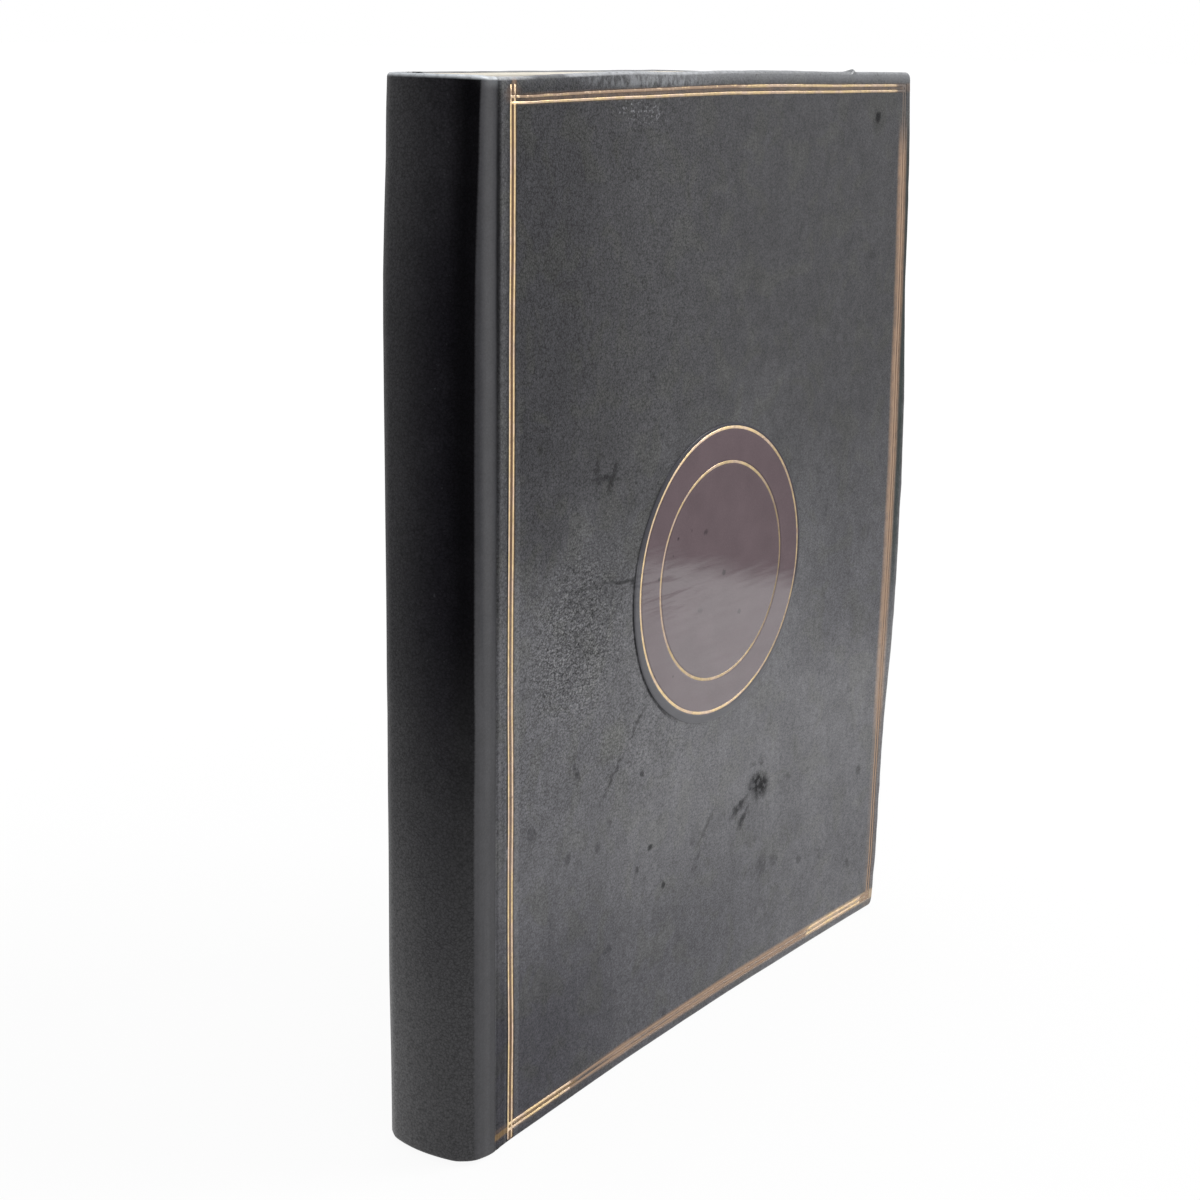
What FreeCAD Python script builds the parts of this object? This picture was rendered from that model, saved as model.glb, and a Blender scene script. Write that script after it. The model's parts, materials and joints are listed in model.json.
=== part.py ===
"""Leather-bound notebook of vellum leaves, standing on its tail.

The book stands upright: +Z runs from tail to head, +X from spine to fore edge, and the
front cover faces -Y. The origin is the centre of the book's footprint on the table.
Sizes are in millimetres. A depth is measured inwards from the outer face of a cover, or
from the outer face of the spine.
"""
import FreeCAD
import Part
import math
import os
from FreeCAD import Vector

# Whole book
WIDTH = 169.5            # spine to fore edge
THICKNESS = 22.15        # front joint to back cover
HEIGHT = 210.4           # spine and back cover
CORNER_R = 2.0           # worn corners of the covers, seen from the front

# Spine: a stiff channel with rounded corners
SPINE_RADIUS = 28.35     # slightly convex back
SPINE_CORNER_R = 4.0
SPINE_TURN_IN = 12.0

# Joints: the line each cover folds on
HINGE_SETBACK = 11.0     # from the outside of the spine to the hinge line
JOINT_WIDTH = 3.0        # strip of leather that bends, centred on the hinge line
CREASE_DEPTH = 0.25

# Covers
LEATHER = 0.8
TURN_IN_LEATHER = 0.5    # pared thinner where it turns in over the boards
TURN_IN_WIDTH = 15.0
MITRE_SLIT = 0.2         # where the turn-ins meet at the corners
BOARD = 2.0
PASTEDOWN = 0.2
PASTEDOWN_MARGIN = 3.0
BOARD_EDGE_SETBACK = 0.7   # from the hinge line to the board
FRONT_FACE_SETBACK = 0.3   # front cover's face behind the front joint's
FRONT_BOW = 1.85         # the front cover is warped hollow by this much
HEAD_PEAK = 0.5          # share of a cover's width at which its head edge is highest
FRONT_JOINT_DIP = 1.1    # the front cover's head edge falls from there to the joint
FRONT_FORE_DIP = 0.5     # and to the fore edge
BACK_FORE_DIP = 1.3
EDGE_ROUND = 0.7

# Leaves
LEAVES_TAIL_SQUARE = 0.7
LEAVES_HEAD_SQUARE = 0.3
LEAVES_FORE_SQUARE = 2.8
FORE_EDGE_HOLLOW = 0.6
COVER_GAP = 0.4          # air between an endpaper on the cover and the one on the leaves
FLYLEAF = 0.2
GATHERINGS = 9
GATHERING_ROUND = 0.3
LEAVES_SPINE_DEPTH = 3.0
SHOULDER_START = 1.1     # leaves begin to swell towards the spine, past the hinge line
SHOULDER_END = 4.4

# Sewing and spine linings
STIFFENER = 0.7
MULL = 0.25
MULL_DEPTH = 2.2
TAPE = 0.4
TAPE_WIDTH = 12.0
TAPE_END = 4.8           # tape ends on the shoulders, measured back from the hinge line
GLUE = 0.05              # thickness left for glue between layers

# Gilt tooling
LINE_WIDTH = 0.45
LINE_DEPTH = 0.25        # groove pressed into the leather
GOLD = 0.1
LINE_FIT = 0.05          # groove wider than the gold, each side
GOLD_LENGTHS = 6         # strokes of the fillet tool across the bowed cover
LINE_PITCH = 1.0         # between the two upright lines of a pair
HEAD_LINE_PITCH = 1.3
TAIL_LINE_PITCH = 1.2
HEAD_LINE = 4.6          # inner line below the head
TAIL_LINE = 3.2          # inner line above the tail
JOINT_LINE = 3.1         # outer line from the hinge line
FORE_LINE = 3.0          # outer line from the fore edge
JOINT_LINE_HEAD_END = 2.6   # the joint pair runs on past the frame
JOINT_LINE_TAIL_END = 1.0

# Round onlay
ONLAY_R = 33.5
ONLAY = 0.4
ONLAY_PROUD = 0.12
ONLAY_SHIFT = (-0.5, -0.6)  # laid a little off the rings' centre
RING_RADII = (31.85, 24.27)
RING_ABOVE_TAIL = 103.7
RING_FROM_HINGE = 80.95

# Worked out from these
SPINE_X = -WIDTH / 2
FORE_X = WIDTH / 2
FRONT_Y = -THICKNESS / 2
BACK_Y = THICKNESS / 2
HINGE_X = SPINE_X + HINGE_SETBACK
JOINT_START_X = HINGE_X - JOINT_WIDTH / 2
JOINT_END_X = HINGE_X + JOINT_WIDTH / 2
COVER_DEPTH = LEATHER + BOARD + TURN_IN_LEATHER
INNER_DEPTH = COVER_DEPTH + PASTEDOWN
FLYLEAF_DEPTH = INNER_DEPTH + COVER_GAP
LEAVES_DEPTH = FLYLEAF_DEPTH + FLYLEAF + GLUE
RING_X = HINGE_X + RING_FROM_HINGE
PEAK_X = JOINT_START_X + HEAD_PEAK * (FORE_X - JOINT_START_X)


class Side:
    """One cover: the place and warp of its outer face, and the fall of its head edge."""

    def __init__(self, name, face_y, inward, bow, joint_dip, fore_dip):
        self.name = name
        self.face_y = face_y
        self.inward = inward
        self.bow = bow
        self.joint_dip = joint_dip
        self.fore_dip = fore_dip

    def y(self, x, depth):
        """Place of a layer at this depth: a shallow arc from the hinge to the fore edge."""
        hollow = 0.0
        if self.bow:
            span = FORE_X - HINGE_X
            radius = span ** 2 / (8 * self.bow) + self.bow / 2
            off_middle = x - (HINGE_X + span / 2)
            hollow = math.sqrt(radius ** 2 - off_middle ** 2) - (radius - self.bow)
        return self.face_y + self.inward * (depth + hollow)

    def point(self, x, depth):
        return Vector(x, self.y(x, depth), 0)

    def curve(self, x0, x1, depth):
        if self.bow:
            middle = self.point((x0 + x1) / 2, depth)
            return Part.Arc(self.point(x0, depth), middle, self.point(x1, depth)).toShape()
        return Part.makeLine(self.point(x0, depth), self.point(x1, depth))

    def head(self, x):
        """Height of the head edge: two straight runs that meet at a low peak."""
        if x < PEAK_X:
            return HEIGHT - self.joint_dip * (PEAK_X - x) / (PEAK_X - JOINT_START_X)
        return HEIGHT - self.fore_dip * (x - PEAK_X) / (FORE_X - PEAK_X)


FRONT = Side("front", FRONT_Y + FRONT_FACE_SETBACK, 1, FRONT_BOW, FRONT_JOINT_DIP, FRONT_FORE_DIP)
BACK = Side("back", BACK_Y, -1, 0.0, 0.0, BACK_FORE_DIP)


def wire_of(points):
    return Part.makePolygon(points + points[:1])


def extrude_up(wire, z0, z1):
    face = Part.Face(wire)
    face.translate(Vector(0, 0, z0))
    return face.extrude(Vector(0, 0, z1 - z0))


def box(x0, x1, y0, y1, z0, z1):
    return Part.makeBox(x1 - x0, y1 - y0, z1 - z0, Vector(x0, y0, z0))


def edges_where(solid, test):
    return [edge for edge in solid.Edges if test(edge)]


def runs_through(edge):
    """True for an edge that runs straight from the front towards the back."""
    return edge.BoundBox.XLength < 0.01 and edge.BoundBox.ZLength < 0.01


def at_x(edge, x):
    return abs(edge.BoundBox.XMin - x) < 0.01 and abs(edge.BoundBox.XMax - x) < 0.01


# ---- covers ----

def slab(side, x0, x1, d0, d1, z0=-1.0, z1=HEIGHT + 1.0):
    """A layer of a cover between two depths, following the cover's warp."""
    near = side.curve(x0, x1, d0)
    far = side.curve(x0, x1, d1)
    ends = [Part.makeLine(side.point(x, d0), side.point(x, d1)) for x in (x0, x1)]
    return extrude_up(Part.Wire(Part.__sortEdges__([near, far] + ends)), z0, z1)


def outline(side, x0, x1, tail, head):
    """The cover's outline seen from the front, less these squares, as a prism through the book."""
    places = [(x0, tail), (x1, tail)] + [(x, side.head(x) - head) for x in (x1, PEAK_X, x0)]
    face = Part.Face(wire_of([Vector(x, -THICKNESS, z) for x, z in places]))
    return face.extrude(Vector(0, 2 * THICKNESS, 0))


def panel(side, x0, inset, corner_r):
    x1 = FORE_X - inset
    prism = outline(side, x0, x1, inset, inset)
    corners = edges_where(prism, lambda edge: runs_through(edge) and at_x(edge, x1))
    return prism.makeFillet(corner_r, corners)


def rounded_cover(side):
    """The covered board as a whole, its worn edges rounded all but at the joint."""
    layer = slab(side, JOINT_END_X, FORE_X + 1, 0, COVER_DEPTH)
    block = layer.common(panel(side, JOINT_END_X, 0, CORNER_R))

    def is_rim(edge):
        return not runs_through(edge) and not at_x(edge, JOINT_END_X)

    return block.makeFillet(EDGE_ROUND, edges_where(block, is_rim))


def turn_in_window(side):
    """Opening between the turn-ins, cut from inside the board's bed."""
    x0, x1 = JOINT_END_X - 1, FORE_X - TURN_IN_WIDTH
    return slab(side, x0, x1, LEATHER + BOARD / 2, COVER_DEPTH + 1, TURN_IN_WIDTH, HEIGHT - TURN_IN_WIDTH)


def mitre_cuts(side):
    """Slits where the head and tail turn-ins meet the fore-edge one at 45 degrees."""
    y = side.y(FORE_X, COVER_DEPTH)
    start = 2 * EDGE_ROUND * math.sqrt(2)
    reach = (TURN_IN_WIDTH + 1) * math.sqrt(2)
    cuts = []
    for z, turn in ((0.0, 45), (HEIGHT, -45)):
        cut = box(-reach, -start, -MITRE_SLIT, MITRE_SLIT, -MITRE_SLIT / 2, MITRE_SLIT / 2)
        cut.rotate(Vector(0, 0, 0), Vector(0, 1, 0), turn)
        cut.translate(Vector(FORE_X, y, z))
        cuts.append(cut)
    return cuts


def cover_leather(side):
    whole = rounded_cover(side)
    board_bed = slab(side, JOINT_END_X - 1, FORE_X, LEATHER, LEATHER + BOARD).common(
        panel(side, JOINT_END_X - 1, LEATHER, CORNER_R / 2))
    window = turn_in_window(side)
    leather = whole.cut([board_bed, window] + mitre_cuts(side) + [line_grooves(side)])
    if side is FRONT:
        leather = leather.cut(onlay_blank(ONLAY_R + LINE_FIT, ONLAY - ONLAY_PROUD, -ONLAY_PROUD))
    return leather


def board(side):
    x0 = HINGE_X + BOARD_EDGE_SETBACK
    inset = LEATHER + GLUE
    blank = slab(side, x0, FORE_X, inset, LEATHER + BOARD - GLUE)
    return blank.common(panel(side, x0, inset, CORNER_R / 2))


def board_infill(side):
    """Card that fills the board's inside face up to the level of the turn-ins."""
    x0 = HINGE_X + BOARD_EDGE_SETBACK
    low, high = TURN_IN_WIDTH + GLUE, HEIGHT - TURN_IN_WIDTH - GLUE
    return slab(side, x0, FORE_X - TURN_IN_WIDTH - GLUE, LEATHER + BOARD, COVER_DEPTH, low, high)


def pastedown(side):
    x0 = HINGE_X + BOARD_EDGE_SETBACK
    low, high = PASTEDOWN_MARGIN, HEIGHT - PASTEDOWN_MARGIN
    return slab(side, x0, FORE_X - PASTEDOWN_MARGIN, COVER_DEPTH + GLUE, INNER_DEPTH, low, high)


# ---- gilt tooling and onlay ----

def line_places(half_width):
    """The tooled frame as boxes (x0, x1, z0, z1), each line widened by half_width."""
    left = HINGE_X + JOINT_LINE
    right = FORE_X - FORE_LINE
    head = HEIGHT - HEAD_LINE + HEAD_LINE_PITCH
    tail = TAIL_LINE - TAIL_LINE_PITCH
    places = []
    for step in (0, LINE_PITCH):
        places.append((left + step, left + step, JOINT_LINE_TAIL_END, HEIGHT - JOINT_LINE_HEAD_END))
        places.append((right - step, right - step, tail, head))
    for z in (head, head - HEAD_LINE_PITCH, tail, TAIL_LINE):
        places.append((left, right, z, z))
    return [(x0 - half_width, x1 + half_width, z0 - half_width, z1 + half_width)
            for x0, x1, z0, z1 in places]


def line_frame(side, half_width, d0, d1, lengths=1):
    """The tooled frame between two depths, in one or more lengths side by side."""
    bars = [box(x0, x1, -THICKNESS, THICKNESS, z0, z1) for x0, x1, z0, z1 in line_places(half_width)]
    frame = bars[0].fuse(bars[1:]).removeSplitter()
    start, end = HINGE_X + JOINT_LINE - 1, FORE_X - FORE_LINE + 1
    step = (end - start) / lengths
    skin = [slab(side, start + i * step, start + (i + 1) * step, d0, d1) for i in range(lengths)]
    return frame.common(skin[0].fuse(skin[1:]) if lengths > 1 else skin[0])


def line_grooves(side):
    return line_frame(side, LINE_WIDTH / 2 + LINE_FIT, -1, LINE_DEPTH)


def gilt_fillets(side):
    lengths = GOLD_LENGTHS if side.bow else 1
    return line_frame(side, LINE_WIDTH / 2, LINE_DEPTH - GOLD, LINE_DEPTH, lengths)


def disc_prism(radius, shift=(0.0, 0.0)):
    centre = Vector(RING_X + shift[0], -THICKNESS, RING_ABOVE_TAIL + shift[1])
    return Part.makeCylinder(radius, 2 * THICKNESS, centre, Vector(0, 1, 0))


def onlay_blank(radius, d1, d0):
    reach = ONLAY_R + 5
    skin = slab(FRONT, RING_X - reach, RING_X + reach, d0, d1)
    return skin.common(disc_prism(radius, ONLAY_SHIFT))


def ring_band(radius, half_width, d0, d1):
    reach = ONLAY_R + 5
    tube = disc_prism(radius + half_width).cut(disc_prism(radius - half_width))
    return slab(FRONT, RING_X - reach, RING_X + reach, d0, d1).common(tube)


def onlay_disc():
    """Thin round of leather pasted in a shallow bed, with the rings pressed into it."""
    disc = onlay_blank(ONLAY_R, ONLAY - ONLAY_PROUD - GLUE, -ONLAY_PROUD)
    grooves = [ring_band(r, LINE_WIDTH / 2 + LINE_FIT, -1, GOLD) for r in RING_RADII]
    return disc.cut(grooves)


def gilt_tooling(side):
    """Gold pressed into the grooves: the frame of fillets, and on the front the two rings."""
    gold = gilt_fillets(side).Solids
    if side is FRONT:
        for radius in RING_RADII:
            gold += ring_band(radius, LINE_WIDTH / 2, 0, GOLD).Solids
    return Part.makeCompound(gold)


# ---- spine ----

def channel_path(depth, x_end):
    """Half-outlines of the spine channel at a depth: flank, corner, back, corner, flank."""
    centre = Vector(SPINE_X + SPINE_RADIUS, 0, 0)
    to_corner = SPINE_RADIUS - SPINE_CORNER_R
    rise = THICKNESS / 2 - SPINE_CORNER_R
    corner_x = centre.x - math.sqrt(to_corner ** 2 - rise ** 2)
    back_turn = math.atan2(rise, centre.x - corner_x)

    def on_corner(sign, angle):
        middle = Vector(corner_x, sign * rise, 0)
        r = SPINE_CORNER_R - depth
        return middle + Vector(-math.sin(angle) * r, sign * math.cos(angle) * r, 0)

    quarter = math.pi / 2 - back_turn
    ends = [Vector(x_end, on_corner(sign, 0).y, 0) for sign in (-1, 1)]
    front = [on_corner(-1, angle) for angle in (0, quarter / 2, quarter)]
    back = [on_corner(1, angle) for angle in (quarter, quarter / 2, 0)]
    middle = Vector(SPINE_X + depth, 0, 0)
    return [Part.makeLine(ends[0], front[0]), Part.Arc(*front).toShape(),
            Part.Arc(front[2], middle, back[0]).toShape(), Part.Arc(*back).toShape(),
            Part.makeLine(back[2], ends[1])]


def channel(d0, d1, x_end, z0, z1):
    """A layer that wraps the spine and both flanks between two depths."""
    outer = channel_path(d0, x_end)
    inner = channel_path(d1, x_end)
    lips = [Part.makeLine(outer[0].Vertexes[0].Point, inner[0].Vertexes[0].Point),
            Part.makeLine(outer[-1].Vertexes[-1].Point, inner[-1].Vertexes[-1].Point)]
    return extrude_up(Part.Wire(Part.__sortEdges__(outer + inner + lips)), z0, z1)


def spine_leather():
    """Leather round the spine, turned in over the stiffener at head and tail."""
    depth = LEATHER + STIFFENER + TURN_IN_LEATHER
    whole = channel(0, depth, JOINT_START_X, 0, HEIGHT)

    outside = channel_path(0, JOINT_START_X)

    def is_outer_cap(edge):
        middle = edge.valueAt((edge.FirstParameter + edge.LastParameter) / 2)
        level = Vector(middle.x, middle.y, 0)
        on_outside = min(Part.Vertex(level).distToShape(line)[0] for line in outside) < 0.01
        return edge.BoundBox.ZLength < 0.01 and on_outside and not at_x(edge, JOINT_START_X)

    whole = whole.makeFillet(EDGE_ROUND, edges_where(whole, is_outer_cap))
    bed = channel(LEATHER, LEATHER + STIFFENER, JOINT_START_X + 1, LEATHER, HEIGHT - LEATHER)
    middle = channel(LEATHER, depth + 1, JOINT_START_X + 1, SPINE_TURN_IN, HEIGHT - SPINE_TURN_IN)
    return whole.cut([bed, middle])


def spine_stiffener():
    inset = LEATHER + GLUE
    return channel(inset, LEATHER + STIFFENER - GLUE, JOINT_START_X - 0.5, inset, HEIGHT - inset)


def mull():
    """Open-weave cloth glued over the sewing and on to the shoulders."""
    end = HINGE_X - SHOULDER_END
    return channel(MULL_DEPTH, MULL_DEPTH + MULL, end, SPINE_TURN_IN, HEIGHT - SPINE_TURN_IN)


def sewing_tape(middle_z):
    depth = MULL_DEPTH + MULL + GLUE
    end = HINGE_X - TAPE_END
    return channel(depth, depth + TAPE, end, middle_z - TAPE_WIDTH / 2, middle_z + TAPE_WIDTH / 2)


# ---- joints ----

def joint_leather(side):
    """The strip that bends: it joins the spine's leather to the cover's, with its crease."""
    strip_y = -side.inward * THICKNESS / 2
    x0, x1 = JOINT_START_X + GLUE, JOINT_END_X - GLUE
    low = Vector(x0, strip_y, 0)
    high = side.point(x1, 0)
    inward = Vector(0, side.inward, 0)
    along = high - low
    crease_half = 0.4
    crease = [low + along * 0.5 + Vector(step, 0, 0) for step in (-crease_half, 0, crease_half)]
    crease[1] = crease[1] + inward * CREASE_DEPTH
    section = [low] + crease + [high, high + inward * LEATHER, low + inward * LEATHER]
    return extrude_up(wire_of(section), EDGE_ROUND, HEIGHT - side.joint_dip - EDGE_ROUND)


def endpaper_joint(side):
    """The fold of the endpaper inside the joint, from the leaves out round to the board."""
    paper = FLYLEAF
    leaf_x = HINGE_X - 0.6
    board_x = HINGE_X + BOARD_EDGE_SETBACK - GLUE - 0.1
    top = side.face_y + side.inward * (LEATHER + 0.1)
    leaf_end = side.face_y + side.inward * (FLYLEAF_DEPTH - GLUE)
    board_end = side.face_y + side.inward * (INNER_DEPTH - GLUE)
    step = Vector(paper, 0, 0)
    fold = Vector(0, side.inward * paper, 0)
    a = Vector(leaf_x, leaf_end, 0)
    b = Vector(leaf_x, top, 0)
    c = Vector(board_x, top, 0)
    d = Vector(board_x, board_end, 0)
    section = [a, b, c, d, d - step, c - step + fold, b + step + fold, a + step]
    return extrude_up(wire_of(section), PASTEDOWN_MARGIN, HEIGHT - FRONT_JOINT_DIP - PASTEDOWN_MARGIN)


# ---- leaves ----

def leaves_outline():
    """The leaves were cut to the back cover's outline."""
    return outline(BACK, SPINE_X, FORE_X, LEAVES_TAIL_SQUARE, LEAVES_HEAD_SQUARE)


def flyleaf(side):
    x0 = HINGE_X - 0.2
    x1 = FORE_X - LEAVES_FORE_SQUARE
    return slab(side, x0, x1, FLYLEAF_DEPTH, FLYLEAF_DEPTH + FLYLEAF).common(leaves_outline())


def gathering_folds():
    """The folded backs of the gatherings, side by side round the spine."""
    radius = SPINE_RADIUS - LEAVES_SPINE_DEPTH
    centre = Vector(SPINE_X + SPINE_RADIUS, 0, 0)
    half = THICKNESS / 2 - LEAVES_SPINE_DEPTH
    sweep = math.asin(half / radius)

    def place(step, outward=0.0):
        angle = sweep * (2 * step / GATHERINGS - 1)
        r = radius + outward
        return centre + Vector(-math.cos(angle) * r, math.sin(angle) * r, 0)

    folds = []
    for i in range(GATHERINGS):
        start = place(i, -GATHERING_ROUND)
        end = place(i + 1, -GATHERING_ROUND)
        folds.append(Part.Arc(start, place(i + 0.5), end).toShape())
    return folds


def text_block():
    """All the leaves as one block: flat or hollow faces, swollen shoulders, rounded folds."""
    fore_x = FORE_X - LEAVES_FORE_SQUARE
    start_x = HINGE_X - SHOULDER_START
    end_x = HINGE_X - SHOULDER_END
    folds = gathering_folds()
    first, last = folds[0].Vertexes[0].Point, folds[-1].Vertexes[-1].Point
    faces = [side.curve(start_x, fore_x, LEAVES_DEPTH) for side in (FRONT, BACK)]
    swell = [Part.makeLine(side.point(start_x, LEAVES_DEPTH), Vector(end_x, fold.y, 0))
             for side, fold in ((FRONT, first), (BACK, last))]
    flanks = [Part.makeLine(Vector(end_x, fold.y, 0), fold) for fold in (first, last)]
    corners = [side.point(fore_x, LEAVES_DEPTH) for side in (FRONT, BACK)]
    middle = (corners[0] + corners[1]) / 2 - Vector(FORE_EDGE_HOLLOW, 0, 0)
    fore_edge = Part.Arc(corners[0], middle, corners[1]).toShape()
    edges = folds + faces + swell + flanks + [fore_edge]
    block = extrude_up(Part.Wire(Part.__sortEdges__(edges)), 0, HEIGHT)
    return block.common(leaves_outline())


def build():
    tape_places = {"tail": 0.2 * HEIGHT, "middle": 0.5 * HEIGHT, "head": 0.8 * HEIGHT}
    nodes = {
        "text_block": text_block(),
        "mull": mull(),
        "spine_stiffener": spine_stiffener(),
        "spine_leather": spine_leather(),
        "onlay_disc": onlay_disc(),
    }
    for place, z in tape_places.items():
        nodes["sewing_tape_" + place] = sewing_tape(z)
    for side in (FRONT, BACK):
        nodes[side.name + "_flyleaf"] = flyleaf(side)
        nodes[side.name + "_joint_leather"] = joint_leather(side)
        nodes[side.name + "_endpaper_joint"] = endpaper_joint(side)
        nodes[side.name + "_board"] = board(side)
        nodes[side.name + "_board_infill"] = board_infill(side)
        nodes[side.name + "_cover_leather"] = cover_leather(side)
        nodes[side.name + "_pastedown"] = pastedown(side)
        nodes[side.name + "_gilt_tooling"] = gilt_tooling(side)
    return nodes


os.makedirs("parts", exist_ok=True)
for name, shape in build().items():
    shape.exportStep("parts/" + name + ".step")
    box_of = shape.BoundBox
    print(name, shape.ShapeType, len(shape.Solids), shape.isValid(), round(shape.Volume, 1),
          [round(v, 2) for v in (box_of.XMin, box_of.XMax, box_of.YMin, box_of.YMax, box_of.ZMin, box_of.ZMax)])
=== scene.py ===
"""Leather-bound vellum notebook: its leather, gold, leaves and endpapers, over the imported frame.

Pieces are modelled in millimetres. A cover's pieces are made flat on the bench, with X from
spine to fore edge, Y from tail to head and Z out of the leather, and are then laid on the
cover. settle() scales each finished piece to the frame's metres.
"""
import bmesh
import bpy
import json
import math
from mathutils import Matrix, Vector, noise


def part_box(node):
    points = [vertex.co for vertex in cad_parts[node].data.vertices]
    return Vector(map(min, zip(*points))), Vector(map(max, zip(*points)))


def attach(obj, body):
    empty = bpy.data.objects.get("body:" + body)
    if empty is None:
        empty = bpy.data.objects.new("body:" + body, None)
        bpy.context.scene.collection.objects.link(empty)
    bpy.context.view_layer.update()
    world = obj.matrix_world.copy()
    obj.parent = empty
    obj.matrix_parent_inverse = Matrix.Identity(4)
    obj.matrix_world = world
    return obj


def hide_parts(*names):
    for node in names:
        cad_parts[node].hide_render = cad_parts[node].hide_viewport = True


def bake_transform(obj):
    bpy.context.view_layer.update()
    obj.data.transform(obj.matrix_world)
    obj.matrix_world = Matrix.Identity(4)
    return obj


bl_info = {
    "name": "Vellum Notebook",
    "version": (1, 0, 0),
    "blender": (4, 5, 0),
    "location": "View3D > Sidebar > Notebook",
    "description": "Makes the leather, gold, leaves and endpapers of a bound notebook",
    "category": "Add Mesh",
}

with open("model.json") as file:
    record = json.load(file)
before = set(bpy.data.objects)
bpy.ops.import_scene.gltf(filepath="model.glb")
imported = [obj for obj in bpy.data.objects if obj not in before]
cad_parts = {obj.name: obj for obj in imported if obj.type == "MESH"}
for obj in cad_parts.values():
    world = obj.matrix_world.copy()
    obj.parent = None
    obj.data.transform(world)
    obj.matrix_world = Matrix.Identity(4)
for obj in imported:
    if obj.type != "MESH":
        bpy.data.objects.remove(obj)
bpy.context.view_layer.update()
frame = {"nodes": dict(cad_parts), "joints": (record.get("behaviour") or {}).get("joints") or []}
MM = 0.001


def box_mm(node):
    """A CAD piece's lowest and highest corners, in millimetres."""
    low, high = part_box(node)
    return Vector(low) / MM, Vector(high) / MM


SPINE_LOW, SPINE_HIGH = box_mm("spine_leather")
BACK_LOW, BACK_HIGH = box_mm("back_cover_leather")
LEAVES_LOW, LEAVES_HIGH = box_mm("text_block")
PASTE_LOW, PASTE_HIGH = box_mm("front_pastedown")
FLY_LOW, FLY_HIGH = box_mm("front_flyleaf")
HINGE_X = frame["joints"][0]["pos_m"][0] / MM
SPINE_X, FORE_X, HEIGHT = SPINE_LOW.x, BACK_HIGH.x, SPINE_HIGH.z
JOINT_X = SPINE_HIGH.x                  # where the spine's leather becomes the joint's
CREASE_X = JOINT_X + 0.35               # the crease where the cover turns, painted dark as shade
SPINE_CORNER, SPINE_ROUND = 4.0, 28.35  # radii of the spine's corners and back
BOARD_X = box_mm("front_board")[0].x    # spine edge of the boards
COVER = BACK_HIGH.y - BACK_LOW.y        # a covered board's thickness
FLANK_Y = SPINE_HIGH.y                  # the spine's sides, which the covers lie level with
TURN_IN, SPINE_TURN_IN = 15.0, 12.0     # leather turned in over the boards and inside the spine
LEAVES_ROUND = 25.35                    # radius of the rounded folds at the leaves' backs

# Depths below the outside of a cover
BOARD_OUTER, BOARD_INNER = 0.85, 2.75
PASTE_DEPTH = COVER + 0.11              # the pasted half of an endpaper
FLY_DEPTH = COVER + 0.6                 # its free half
LEAVES_DEPTH = COVER + 0.85

ENDPAPER = 0.12                         # thickness
PASTE_X = HINGE_X + 0.55                # spine edge of the pasted half
FLY_X = HINGE_X - 0.6                   # spine edge of the free half

RING_X, RING_Z = HINGE_X + 80.95, 103.7
RINGS = (24.27, 31.85)                  # radii of the two gilt rings
ONLAY_OFF = (-0.5, -0.6)                # the onlay's outer edge is this far off the rings' centre
SLOPE = 0.12                            # width of the slope beside a pressed line
NEAR = 0.01                             # what is this close to a place is at it

# The camera's place in metres, its turns in degrees and its lens in millimetres
CAMERA_AT = (-0.376656, -0.249047, 0.217765)
CAMERA_YAW, CAMERA_PITCH, CAMERA_ROLL = 35.3906, 14.9937, 0.9114
CAMERA_LENS = 63.53

# Each lamp's name, place and size in metres, and power in watts
LAMPS = (("key", (0.75, -0.75, 0.9), 0.6, 10.0), ("fill", (-0.9, -0.8, 0.5), 0.8, 3.0),
         ("top", (0.0, 0.1, 1.5), 1.0, 8.0))


def length(name, description, default):
    return bpy.props.FloatProperty(name=name, description=description, default=default,
                                   unit="LENGTH", precision=5)


class NotebookSizes(bpy.types.PropertyGroup):
    """Sizes of the notebook's finer parts."""
    skin: length("Leather", "Thickness of the covering leather", 0.0005)
    rim: length("Rim", "Rounding of the covers' rims", 0.0007)
    corner: length("Corner", "Rounding of the covers' worn corners", 0.002)
    setback: length("Setback", "Front cover's face behind the joint's", 0.0003)
    hollow: length("Hollow", "How far the front cover is warped hollow", 0.00185)
    grid: length("Grid", "Spacing of the leather's mesh", 0.003)
    line: length("Gilt line", "Width of a gilt line", 0.0006)
    press: length("Impression", "How deep the tools are pressed", 0.00016)
    onlay: length("Onlay radius", "Radius of the round onlay", 0.0335)
    onlay_proud: length("Onlay edge", "How far the onlay stands proud", 0.00028)
    leaf: length("Leaf", "Thickness of a vellum leaf", 0.00018)
    gatherings: bpy.props.IntProperty(name="Gatherings", description="Sewn gatherings in the block",
                                      default=9, min=1)
    folded: bpy.props.IntProperty(name="Folded leaves", description="Folded pairs in a gathering",
                                  default=3, min=1)


def colour(name, description, default):
    return bpy.props.FloatVectorProperty(name=name, description=description, default=default,
                                         size=3, subtype="COLOR", min=0.0, max=1.0)


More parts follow.
